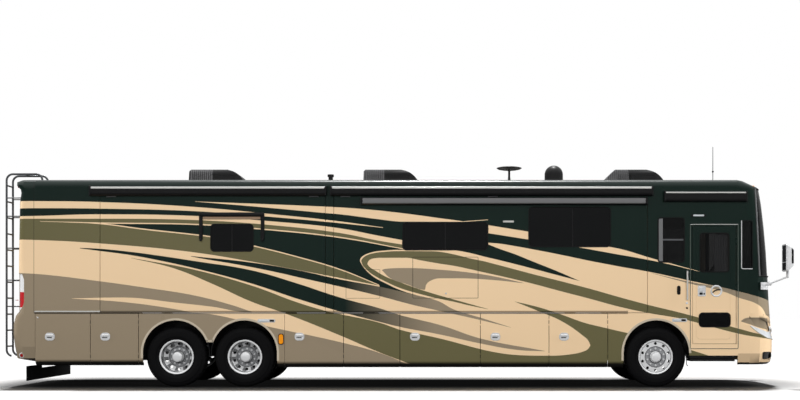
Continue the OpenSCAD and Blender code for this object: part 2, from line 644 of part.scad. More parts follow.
module roof_antennas() color(grey_c) {
    // dome
    translate([front_seam_x - 3065, 0, roof_z]) rotate_extrude($fn = 64) {
        square([168, 228]);
        intersection() { translate([0, 228]) circle(r = 168, $fn = 64); square([168, 500]); }
    }
    // dish on its stalk
    translate([front_seam_x - 3884, 0, roof_z]) rotate_extrude($fn = 64)
        polygon([[0, 0], [48, 0], [30, 60], [20, 200], [20, 296], [60, 306], [130, 312], [200, 326], [232, 345],
            [228, 352], [190, 362], [120, 372], [50, 377], [0, 378]]);
    // vent
    translate([slide_a1 - 19, 0, roof_z]) rotate_extrude($fn = 48)
        polygon([[0, 0], [60, 0], [44, 30], [40, 180], [58, 184], [58, 230], [0, 236]]);
    // whip
    translate([front_seam_x - 348, -900, roof_z]) rotate_extrude($fn = 24)
        polygon([[0, 0], [26, 0], [22, 24], [6, 30], [6, 160], [16, 168], [16, 184], [6, 192], [5, 612], [0, 612]]);
}

// Tubes of the ladder with bends at the roof and at the lower end.
ladder_r = 18;
ladder_x = rear_seam_x - ladder_reach + ladder_r;
bend_r = 110;
ladder_top = roof_z + 119;
ladder_low = 640;
ladder_ys = [-1010, -700];
module bend(angle) rotate_extrude(angle = angle, $fn = 48) translate([bend_r, 0]) circle(r = ladder_r, $fn = 24);
module ladder() color(metal_c) {
    foot = rear_seam_x + 38;
    for (y = ladder_ys) {
        translate([ladder_x, y, ladder_low]) cylinder(r = ladder_r, h = ladder_top - bend_r - ladder_low, $fn = 24);
        translate([ladder_x + bend_r, y, ladder_top - bend_r]) rotate([90, 0, 0]) rotate(90) bend(90);
        rod([ladder_x + bend_r, y, ladder_top], [foot - bend_r, y, ladder_top], ladder_r);
        translate([foot - bend_r, y, ladder_top - bend_r]) rotate([90, 0, 0]) bend(90);
        translate([foot, y, roof_z + seat_gap]) cylinder(r = ladder_r, h = ladder_top - bend_r - roof_z, $fn = 24);
        translate([ladder_x + bend_r, y, ladder_low]) rotate([90, 0, 0]) rotate(180) bend(75);
        for (z = [1400, 1860, 2420, 2980, 3300]) rod([ladder_x, y, z],
            [lookup(z - 12, tail_face) - 2 * seat_gap, y, z], 10);
    }
    for (z = [ladder_low + 60:282:3600]) shaft(ladder_x, z, ladder_ys[0], ladder_ys[1], 14);
    for (x = [rear_seam_x - 272, rear_seam_x - 60]) shaft(x, ladder_top, ladder_ys[0], ladder_ys[1], 14);
}

// Mirror on a slim arm: a pad on the cap's corner, a ball, and a rounded head whose
// rear face is sunk for the glass.
head_x = front_seam_x + mirror_reach;
head_y = half_w + 27.5;
module mirrors() color(metal_c) both() {
    difference() {
        intersection() {
            loft(nose, front_seam_x, nose_n, -50, 0);
            block([front_seam_x + 396, half_w - 283, 1690], [front_seam_x + 546, half_w + 60, 1815]);
        }
        loft(nose, front_seam_x, nose_n, -seat_gap, 0);
    }
    ball = [front_seam_x + 560, half_w - 20, 1795];
    elbow = [head_x - 85, head_y + 110, 1905];
    rod([front_seam_x + 512, half_w - 74, 1780], ball, 30);
    translate(ball) sphere(r = 38, $fn = 16);
    rod(ball, elbow, 15);
    translate(elbow) sphere(r = 24, $fn = 12);
    rod(elbow, elbow + [0, 20, 125], 24);
    difference() {
        hull() {
            for (y = [head_y + 40, head_y + 220]) for (z = [2035, 2425])
                translate([head_x - 130, y, z]) sphere(r = 40, $fn = 16);
            for (y = [head_y + 70, head_y + 190]) for (z = [2120, 2350])
                translate([head_x - 42, y, z]) sphere(r = 42, $fn = 16);
        }
        block([head_x - 200, head_y - 50, 1900], [head_x - 150, head_y + 300, 2600]);
        cross(head_x - 160, head_x - 142) plate([head_y + 16, 2011], [head_y + 244, 2449], 30);
    }
}

// Rubber guard across the tail, with a notch for the receiver.
module rock_flap() color(black_c) {
    x = rear_seam_x - 172;
    difference() {
        block([x, -half_w + 60, 105], [x + 15, half_w - 60, 362]);
        block([x - 1, -520, 305], [x + 16, 520, 363]);
    }
    both() block([x - 20, rail_y0 + 5, 250], [x + 1, rail_y1 - 5, rail_z0 - seat_gap]);
}
// Folded entry step: its case, and the tread below it.
module entry_step() color(black_c) {
    block([door_x0 - 46, -half_w + 25, 497], [door_x1 - 5, -half_w + 380, step_z - seat_gap]);
    block([door_x0 - 36, -half_w + 20, 448], [door_x1 - 15, -half_w + 400, 490]);
    for (x = [door_x0 - 20, door_x1 - 60]) block([x, -half_w + 180, 470], [x + 30, -half_w + 280, 650 - seat_gap]);
}

// Cab

wheel_at = [front_seam_x - 30, 620, 2035];
module dashboard() color(black_c) {
    side(-1100, 1100) polygon([[front_seam_x + 100, floor_top + seat_gap], [front_seam_x + 60, 1560],
        [front_seam_x + 70, 1760], [front_seam_x + 150, 1860], [front_seam_x + 396, 1890],
        [front_seam_x + 396, floor_top + seat_gap]]);
    side(350, 890) polygon([[front_seam_x + 80, 1760], [front_seam_x + 110, 1960], [front_seam_x + 150, 1985],
        [front_seam_x + 250, 1880]]);
    translate(wheel_at) rotate([0, -60, 0]) {
        rotate_extrude($fn = 64) translate([222, 0]) circle(r = 17, $fn = 24);
        cylinder(r = 62, h = 40, center = true, $fn = 48);
        for (a = [0, 120, 240]) rotate(a) block([40, -20, -8], [218, 20, 8]);
        rotate([180, 0, 0]) cylinder(r = 32, h = 215, $fn = 32);
    }
}
module seat(x, y) translate([x, y, floor_top + seat_gap]) {
    cylinder(r = 120, h = 330, $fn = 48);
    side(-270, 270) plate([-250, 320], [290, 470], 60);
    side(-250, 250) polygon([[-250, 380], [-170, 400], [-230, 900], [-250, 960], [-330, 950], [-340, 880]]);
    side(-150, 150) plate([-345, 940], [-235, 1130], 45);
    for (s = [-1, 1]) side(s * 270 - 35, s * 270 + 35) plate([-270, 560], [180, 640], 35);
    for (s = [-1, 1]) side(s * 270 - 25, s * 270 + 25) plate([-310, 560], [-230, 640], 35);
}
module seats() color(tan_c) {
    seat(slide_b1 + 410, -700);
    seat(door_x0 + 100, 650);
}
module grab_rail() color(metal_c) {
    x = door_x0 - 100;
    y = -half_w - 47.5;
    translate([x, y, 1509]) cylinder(r = 14, h = 501, $fn = 32);
    for (z = [1530, 1990]) shaft(x, z, y, -half_w - seat_gap, 12);
}

// Awning case along x against the side: flat at the back, rounded in front.
module awning_case(x0, x1, z0, z1, depth) cross(x0, x1) {
    plate([-half_w - depth, z0], [-half_w - seat_gap, z1], min(depth, z1 - z0) / 2 - 4);
    translate([-half_w - depth / 2, z0]) square([depth / 2 - seat_gap, z1 - z0]);
}
module door_awning() color(black_c) awning_case(slide_b1 + 292, front_seam_x + 131, belt_z + 1917, belt_z + 2095, 96);

// Doors

module entry_door() color(tan_c) {
    side(-half_w, -wall_in) difference() {
        translate([door_x0, door_z0]) square([door_w, door_h]);
        outline(window_door);
        outline(window_step);
    }
    for (z = door_hinge_z) leaf_hinge(door_x1 + 5, z, 9);
}
// Moving halves of one hinge: a knuckle above and one below the fixed one.
module leaf_hinge(x, z, reach) for (dz = [-30.5, hinge_h + 0.5]) {
    translate([x, hinge_y, z + dz]) cylinder(r = hinge_r, h = 30, $fn = 24);
    block([x - reach, hinge_y, z + dz], [x, -half_w + 4, z + dz + 30]);
}
module entry_door_glass() color(glass_c) {
    pane(window_door);
    pane(window_step);
}

// Luggage door between two seams, turned under at its lower edge, with the oval dish of
// its latch near the rear edge.
latch_z = 875;
module bay_door(b, z0) {
    difference() {
        cross(b[0] + door_gap, b[1] - door_gap) sill_section(z0);
        block([b[0], -half_w - 1, bay_top], [b[1], 0, belt_z]);
    }
    for (z = bay_hinge_z) leaf_hinge(b[1], z, door_gap + 4);
    side(-half_w - 10, -half_w + 1) plate([b[0] + 175, latch_z - 68], [b[0] + 345, latch_z + 68], 60);
}
module bay_right(i) color(taupe_c) bay_door(bays_right[i], i < 2 ? tail_skirt_z : skirt_z);
module bay_left(i) color(olive_c) mirror([0, 1, 0]) bay_door(bays_left[i], skirt_z);

// Slide-out rooms

// A room open on its inner side, built on the kerb side.
room_t = 40;
module room(x0, x1, windows) difference() {
    block([x0, -half_w, belt_z], [x1, -half_w + room_depth, room_top]);
    block([x0 + room_t, -half_w + wall_t, belt_z + room_t], [x1 - room_t, -half_w + room_depth + 1, room_top - room_t]);
    for (w = windows) side(-half_w - 1, -half_w + wall_t + 1) outline(w);
}
// Case of the awning that covers a room's roof.
topper_z0 = room_top - 92;
topper_z1 = room_top + 72;
module topper(x0, x1) awning_case(x0, x1, topper_z0, topper_z1, 105);

module slide_rear() color(tan_c) room(slide_a0, slide_a1, windows_a);
module slide_rear_glass() color(glass_c) for (w = windows_a) pane(w);
module slide_rear_awning() color(black_c) {
    w = windows_a[0];
    topper(slide_a0 - 157, slide_a1 + 17);
    awning_case(w[0] - 190, w[2] + 186, w[3] + 157, w[3] + 205, 50);
    for (x = [w[0] - 185, w[2] + 155]) block([x, -half_w - 40, w[1] + 170], [x + 26, -half_w - seat_gap, w[3] + 160]);
}
module slide_front() color(tan_c) room(slide_b0, slide_b1, windows_b);
module slide_front_glass() color(glass_c) for (w = windows_b) pane(w);
module slide_front_awning() color(black_c) {
    topper(slide_b0 - 46, slide_b1 + 77);
    awning_case(slide_b0 + 479, slide_b1 - 23, topper_z0 - 156, topper_z0 - 32, 120);
}
module slide_left() color(tan_c) mirror([0, 1, 0]) room(slide_c0, slide_c1, windows_c);
module slide_left_glass() color(glass_c) mirror([0, 1, 0]) for (w = windows_c) pane(w);
module slide_left_awning() color(black_c) mirror([0, 1, 0]) topper(slide_c0 - 60, slide_c1 + 60);

// Wheels

// Steering knuckle of the left side: kingpin, yoke and spindle.
kingpin_r = 22;
module knuckle() {
    translate([front_x, kingpin_y, 340]) cylinder(r = kingpin_r, h = 190, $fn = 48);
    translate([front_x, kingpin_y, 335]) cylinder(r = 45, h = 29, $fn = 48);
    translate([front_x, kingpin_y, 506]) cylinder(r = 45, h = 60, $fn = 48);
    block([front_x - 36, kingpin_y, 506], [front_x + 36, kingpin_y + 54, 556]);
    shaft(front_x, tyre_r, kingpin_y + 52, tyre_y + 78, spindle_r);
}
module knuckle_left() color(frame_c) knuckle();
module knuckle_right() color(frame_c) mirror([0, 1, 0]) knuckle();

// One tyre centred on the origin: half of its outline, then the other half mirrored.
bead_r = rim_r - 8;
bead_y = tyre_w / 2 - 30;
function half_tyre(w) = concat([[bead_r, bead_y - 30], [bead_r, bead_y], [rim_r + seat_gap, bead_y]],
    [for (a = [15:15:90]) [rim_r + seat_gap + 115 * (1 - cos(a)), bead_y + 30 * sin(a)]],
    [for (a = [90:-15:0]) [tyre_r - 40 + 40 * cos(a), w - 52 + 40 * sin(a)]]);
function half_bore(w) = [[tyre_r - 24, w - 76], [tyre_r - 50, w - 46], [rim_r + 110, w - 26], [rim_r + 50, w - 40]];
module tyre() color(black_c) turned() {
    w = tyre_w / 2;
    upper = half_tyre(w);
    inner = half_bore(w);
    lower = [for (i = [len(upper) - 1:-1:0]) [upper[i][0], -upper[i][1]]];
    inner_low = [for (i = [len(inner) - 1:-1:0]) [inner[i][0], -inner[i][1]]];
    polygon(concat(upper, lower, inner_low, inner));
}

// Rim barrel with its two flanges, centred on the origin.
module barrel(y) translate([0, y, 0]) turned() {
    f = bead_y + seat_gap;
    o = bead_r - seat_gap;
    polygon([[rim_r - 30, -f - 3], [rim_r - 6, -f - 12], [rim_r, -f - 10], [rim_r, -f], [o, -f], [o, f], [rim_r, f],
             [rim_r, f + 10], [rim_r - 6, f + 12], [rim_r - 30, f + 3]]);
}
module hand_holes(r, y0, y1) for (a = [18:36:342]) rotate([0, a, 0]) translate([r, y0, 0]) rotate([-90, 0, 0])
    cylinder(r = 25, h = y1 - y0, $fn = 32);
// Steered wheel: its disc bulges outwards, with a flat ring between the holes.
bore_r = spindle_r + 1;
disc_r = rim_r - 16;
module front_rim() color(metal_c) {
    difference() {
        union() {
            barrel(0);
            turned() polygon([[bore_r, 50], [150, 50], [172, 66], [186, 86], [262, 86], [270, 72], [disc_r, 72],
                [disc_r, 100], [263, 106], [190, 106], [179, 101], [172, 88], [bore_r, 88]]);
            turned() polygon([[150, 38], [205, 38], [205, -50], [193, -50], [193, 24], [150, 24]]);
            turned() polygon([[152, 30], [152, 58], [162, 62], [162, 30]]);
        }
        hand_holes(234, 60, 130);
    }
    turned() polygon([[0, 80], [122, 80], [114, 104], [90, 112], [84, 146], [74, 158], [40, 164], [0, 166]]);
}
// Wheel of the rear axles: its disc is dished inwards to the hub's flange.
flange_y = -165;
module dish() turned() polygon([[bore_r, flange_y], [150, flange_y], [182, -142], [252, -88], [266, -78], [disc_r, -78],
    [disc_r, -52], [262, -52], [246, -62], [174, -120], [152, -140], [bore_r, -140]]);
module rear_rim(twin) color(metal_c) {
    difference() {
        union() {
            barrel(0);
            dish();
            if (twin) {
                barrel(-twin_pitch);
                translate([0, 2 * flange_y + 1, 0]) mirror([0, 1, 0]) dish();
            }
            // brake drum
            turned() polygon([[140, flange_y + 1], [190, flange_y - 10], [205, flange_y - 22], [205, flange_y - 165],
                [193, flange_y - 165], [193, flange_y - 32], [140, flange_y - 14]]);
        }
        hand_holes(220, -150, -60);
        if (twin) hand_holes(220, -280, -190);
    }
    turned() polygon([[bore_r, -141], [125, -141], [118, -60], [96, -40], [88, 20], [88, 62], [74, 76], [40, 82],
        [0, 84], [0, 20], [bore_r, 20]]);
}

module place_left(x, y) translate([x, y, tyre_r]) children();

module tyre_front_left() place_left(front_x, tyre_y) tyre();
module rim_front_left() place_left(front_x, tyre_y) front_rim();
module tyre_drive_left() for (y = [tyre_y, twin_y]) place_left(drive_x, y) tyre();
module rim_drive_left() place_left(drive_x, tyre_y) rear_rim(true);
module tyre_tag_left() place_left(tag_x, tyre_y) tyre();
module rim_tag_left() place_left(tag_x, tyre_y) rear_rim(false);

chassis_frame();
hitch_receiver();
axles();
engine_block();
floor();
basement();
wall_right();
wall_left();
skirts();
roof();
front_cap();
rear_cap();
cab_glass();
air_conditioners();
roof_antennas();
ladder();
mirrors();
head_lamps();
tail_lamps();
rock_flap();
entry_step();
dashboard();
seats();
grab_rail();
door_awning();
entry_door();
entry_door_glass();
bay_right(0);  // bay_door_r1
bay_right(1);  // bay_door_r2
bay_right(2);  // bay_door_r3
bay_right(3);  // bay_door_r4
bay_right(4);  // bay_door_r5
bay_right(5);  // bay_door_r6
bay_left(0);  // bay_door_l1
bay_left(1);  // bay_door_l2
bay_left(2);  // bay_door_l3
bay_left(3);  // bay_door_l4
slide_rear();
slide_rear_glass();
slide_rear_awning();
slide_front();
slide_front_glass();
slide_front_awning();
slide_left();
slide_left_glass();
slide_left_awning();
knuckle_left();
knuckle_right();
tyre_front_left();
mirror([0, 1, 0]) tyre_front_left();  // tyre_front_right
rim_front_left();
mirror([0, 1, 0]) rim_front_left();  // rim_front_right
tyre_drive_left();
mirror([0, 1, 0]) tyre_drive_left();  // tyre_drive_right
rim_drive_left();
mirror([0, 1, 0]) rim_drive_left();  // rim_drive_right
tyre_tag_left();
mirror([0, 1, 0]) tyre_tag_left();  // tyre_tag_right
rim_tag_left();
mirror([0, 1, 0]) rim_tag_left();  // rim_tag_right
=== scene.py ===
# %% [markdown]
# # A three-axle motorhome, dressed for its portrait
# The construction model brings every rigid piece: walls, doors, slide-out rooms, axles
# and wheels. This notebook keeps those places and gives the vehicle what a builder's
# paint shop and trim line add: the striped paint, glass, gaskets, latches, lamps,
# awnings, tread and polished wheels. It starts by loading the model as a fixed frame.

# %% Load the frame
import json
import math

import bpy
from mathutils import Matrix, Vector


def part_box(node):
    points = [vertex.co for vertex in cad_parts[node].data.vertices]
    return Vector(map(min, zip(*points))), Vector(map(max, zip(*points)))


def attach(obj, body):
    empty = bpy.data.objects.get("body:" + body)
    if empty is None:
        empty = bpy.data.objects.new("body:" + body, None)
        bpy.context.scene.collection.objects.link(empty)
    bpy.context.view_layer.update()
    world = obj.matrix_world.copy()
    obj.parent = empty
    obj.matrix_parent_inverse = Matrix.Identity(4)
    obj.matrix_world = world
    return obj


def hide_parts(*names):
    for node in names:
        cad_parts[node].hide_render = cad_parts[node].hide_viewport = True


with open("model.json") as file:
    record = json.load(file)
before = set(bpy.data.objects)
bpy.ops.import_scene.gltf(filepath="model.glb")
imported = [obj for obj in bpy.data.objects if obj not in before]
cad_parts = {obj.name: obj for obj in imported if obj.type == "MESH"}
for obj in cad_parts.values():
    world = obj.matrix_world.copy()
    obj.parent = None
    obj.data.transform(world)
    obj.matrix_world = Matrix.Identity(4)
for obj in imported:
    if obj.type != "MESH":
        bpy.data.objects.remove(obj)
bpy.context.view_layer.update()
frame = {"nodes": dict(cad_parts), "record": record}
bodies = frame["record"]["behaviour"]["bodies"]
body_of = {node: body for body, nodes in bodies.items() for node in nodes}

# %% [markdown]
# ## One scale between picture and vehicle
# The stripes were read from a side view in which one pixel is 17.3 mm on the near
# side. Two numbers turn a column and a row of that view into metres along and up.
# The caps are curved in plan, so two functions give the place of their skins, which
# lamps, wipers and seams then follow.

# %% Scale, colours and the vehicle's own sizes
PIXEL = 0.0173
MIDDLE_COLUMN = 395.0
GROUND_ROW = 387.2
HALF_WIDTH = 1.2825
FRONT_SEAM, REAR_SEAM = 5.934, -6.228
ROOF_TOP = 3.598
FLOOR_TOP = 1.283
FRONT_AXLE, DRIVE_AXLE, TAG_AXLE = 4.522, -2.609, -3.796
WHEEL_HEIGHT, TYRE_Y, TWIN_PITCH = 0.520, 1.087, 0.345
ARCH_RADIUS, ARCH_HEIGHT = 0.571, 0.588
KERB, ROAD = -1, 1
NOSE = [(0.392, 0.680), (0.430, 0.734), (0.583, 0.761), (0.836, 0.766), (0.938, 0.756), (1.242, 0.721),
        (1.521, 0.700), (1.951, 0.676), (2.358, 0.649), (2.789, 0.606), (3.195, 0.552), (3.424, 0.506),
        (3.475, 0.471), (3.524, 0.326)]
TAIL = [(0.500, 0.386), (0.700, 0.427), (0.900, 0.456), (1.100, 0.452), (1.230, 0.412), (1.310, 0.351),
        (2.200, 0.351), (3.200, 0.332), (3.370, 0.305), (3.430, 0.317), (3.500, 0.392), (3.560, 0.402)]


def along(column):
    """Metres along the vehicle of a picture column."""
    return (column - MIDDLE_COLUMN) * PIXEL


def height(row):
    """Metres above the ground of a picture row."""
    return (GROUND_ROW - row) * PIXEL


def reach(stations, z):
    """How far a cap's skin stands out from its seam at a height, on the middle line."""
    for (z0, r0), (z1, r1) in zip(stations, stations[1:]):
        if z <= z1:
            return r0 + (r1 - r0) * max(0.0, (z - z0) / (z1 - z0))
    return stations[-1][1]


def nose(y, z, out=0.0):
    """A point of the front cap's skin, or as far outside it as asked."""
    span = (abs(y) / HALF_WIDTH) ** 1.75
    return Vector((FRONT_SEAM + out + reach(NOSE, z) * max(0.0, 1 - span * span) ** (1 / 3.5), y, z))


def nose_side(x, z, side, out=0.0):
    """A point of the front cap's flank, given along the vehicle."""
    share = min(1.0, (x - FRONT_SEAM) / reach(NOSE, z))
    return Vector((x, side * (out + HALF_WIDTH * (1 - share ** 3.5) ** (1 / 3.5)), z))


def tail(y, z, out=0.0):
    """A point of the rear cap's nearly flat back."""
    return Vector((REAR_SEAM - out - reach(TAIL, z), y, z))


def srgb(red, green, blue):
    """A colour given from 0 to 255, as the linear values a shader wants."""
    linear = [((v / 255 + 0.055) / 1.055) ** 2.4 if v > 10 else v / 255 / 12.92
              for v in (red, green, blue)]
    return (*linear, 1.0)


GREEN = srgb(8, 26, 21)
TAN = srgb(230, 200, 161)
OLIVE = srgb(97, 92, 62)
TAUPE = srgb(141, 127, 106)
CREAM = srgb(214, 202, 182)
UNDERBODY = srgb(16, 16, 17)
ROOF_WHITE = srgb(206, 203, 196)
print("nose at bumper height reaches", round(nose(0, 0.8).x, 3), "m")

# %% [markdown]
# ## Shader maths as plain expressions
# A node socket is wrapped in a small class, so that a mask reads like arithmetic.
# Each operator adds one Math node; any other node comes from a single method.

# %% Node helpers


class Wire:
    """One socket of a material's node tree, with Python's operators."""

    def __init__(self, finish, socket):
        self.finish = finish
        self.socket = socket

    def maths(self, operation, *others):
        node = self.finish.nodes.new("ShaderNodeMath")
        node.operation = operation
        for place, value in enumerate((self, *others)):
            self.finish.connect(value, node.inputs[place])
        return Wire(self.finish, node.outputs[0])

    def __add__(self, other):
        return self.maths("ADD", other)

    def __sub__(self, other):
        return self.maths("SUBTRACT", other)

    def __rsub__(self, other):
        return (self * -1.0) + other

    def __mul__(self, other):
        return self.maths("MULTIPLY", other)

    def __truediv__(self, other):
        return self.maths("DIVIDE", other)

    def __gt__(self, other):
        return self.maths("GREATER_THAN", other)

    def __lt__(self, other):
        return self.maths("LESS_THAN", other)

    def clamped(self):
        return self.maths("MAXIMUM", 0.0).maths("MINIMUM", 1.0)


class Finish:
    """A material under construction; node() adds any node by its type."""

    def __init__(self, name, **principled):
        self.material = bpy.data.materials.new(name)
        self.material.use_nodes = True
        self.nodes = self.material.node_tree.nodes
        self.links = self.material.node_tree.links
        self.shader = self.nodes["Principled BSDF"]
        for socket, value in principled.items():
            self.feed(socket.replace("_", " "), value)

    def connect(self, value, socket):
        if isinstance(value, Wire):
            self.links.new(value.socket, socket)
        else:
            socket.default_value = value

    def feed(self, socket, value):
        self.connect(value, self.shader.inputs[socket])

    def node(self, kind, output=0, **sockets):
        new = self.nodes.new(kind)
        for key, value in sockets.items():
            self.connect(value, new.inputs[key])
        return Wire(self, new.outputs[output])

    def place(self):
        """Object coordinates as three wires: along, across and up."""
        split = self.node("ShaderNodeSeparateXYZ", Vector=self.node("ShaderNodeTexCoord", output=3))
        return [Wire(self, output) for output in split.socket.node.outputs]

    def mix(self, mask, first, second):
        new = self.nodes.new("ShaderNodeMix")
        new.data_type = "RGBA"
        for value, place in ((mask, 0), (first, 6), (second, 7)):
            self.connect(value, new.inputs[place])
        return Wire(self, new.outputs[2])

    def noise(self, scale, detail=3.0):
        coordinates = self.node("ShaderNodeTexCoord", output=3)
        return self.node("ShaderNodeTexNoise", Vector=coordinates, Scale=scale, Detail=detail)

    def bump(self, height_wire, strength, distance):
        self.feed("Normal", self.node("ShaderNodeBump", Height=height_wire, Strength=strength,
                                      Distance=distance))


print("node helpers ready")

# %% [markdown]
# ## The stripes
# Full-body paint on such a coach is masked by hand and sprayed in layers. The same
# order works here: dark green goes on first, then each swoosh lies over the last.
# A swoosh is the area between two curves, each drawn through a few points that are
# a column and a row of the side view; where the curves meet, the swoosh has its tip.

# %% Curves and swooshes
TOP_ROW, ROWS = 150.0, 260.0


def curve(finish, column, points):
    """Row of a masking line at each column, through the given points; level beyond its ends."""
    first, last = points[0][0], points[-1][0]
    new = finish.nodes.new("ShaderNodeFloatCurve")
    line = new.mapping.curves[0]
    line.points[0].location = (0.0, (points[0][1] - TOP_ROW) / ROWS)
    line.points[1].location = (1.0, (points[-1][1] - TOP_ROW) / ROWS)
    for u, v in points[1:-1]:
        line.points.new((u - first) / (last - first), (v - TOP_ROW) / ROWS)
    for point in line.points:
        point.handle_type = "AUTO_CLAMPED" if len(points) > 3 else "VECTOR"
    new.mapping.update()
    share = finish.node("ShaderNodeMapRange", **{"Value": column, "From Min": first, "From Max": last})
    finish.connect(share, new.inputs["Value"])
    return Wire(finish, new.outputs[0]) * ROWS + TOP_ROW


def swoosh(finish, below, colour, column, row, upper, lower, start, end):
    """Lay one colour between two masking lines, over what is there already."""
    mask = (row > curve(finish, column, upper)) * (column > start) * (column < end)
    if lower:
        mask = mask * (row < curve(finish, column, lower))
    return finish.mix(mask, below, colour)


# Lines that two neighbouring colours share.
LOWER_EDGE_OF_OLIVE = [(0, 239.2), (40, 240.1), (97, 243.2), (193, 252.2), (252, 261.7), (298, 270),
                       (340, 278.0), (379, 285.5)]
WEDGE_EDGE = [(212, 314.4), (247, 322), (287, 330.6), (340, 342.1), (380, 353), (416, 368)]

# The pale outline round the loop, and the upper edge of the pale front quarter.
OUTLINE = [(360, 259.6), (361, 257.6), (363, 255.9), (366, 254.3), (373, 252.0), (385, 250.5), (400, 249.8),
           (436, 249.8),
           (455, 250.4), (470, 253), (485, 256.8), (500, 260.3), (530, 267.9), (560, 275.8), (582, 281.6)]
TAN_TOP = [(487, 242.6), (500, 243.7), (515, 246.1), (530, 248.8), (560, 254.6), (590, 260.9), (620, 266.6),
           (650, 272.0), (693, 281.4), (725, 288.2), (738, 291.3), (769, 299.3), (800, 307)]
BAND_FOOT = [(406, 257.8), (420, 260.2), (440, 263.7), (455, 266), (470, 269.2), (485, 272.6), (500, 275.9),
             (515, 279.4), (530, 283), (560, 291), (590, 298.8), (620, 306.9), (650, 313.3), (680, 318.5),
             (742, 334.4), (758, 337.1), (800, 343)]

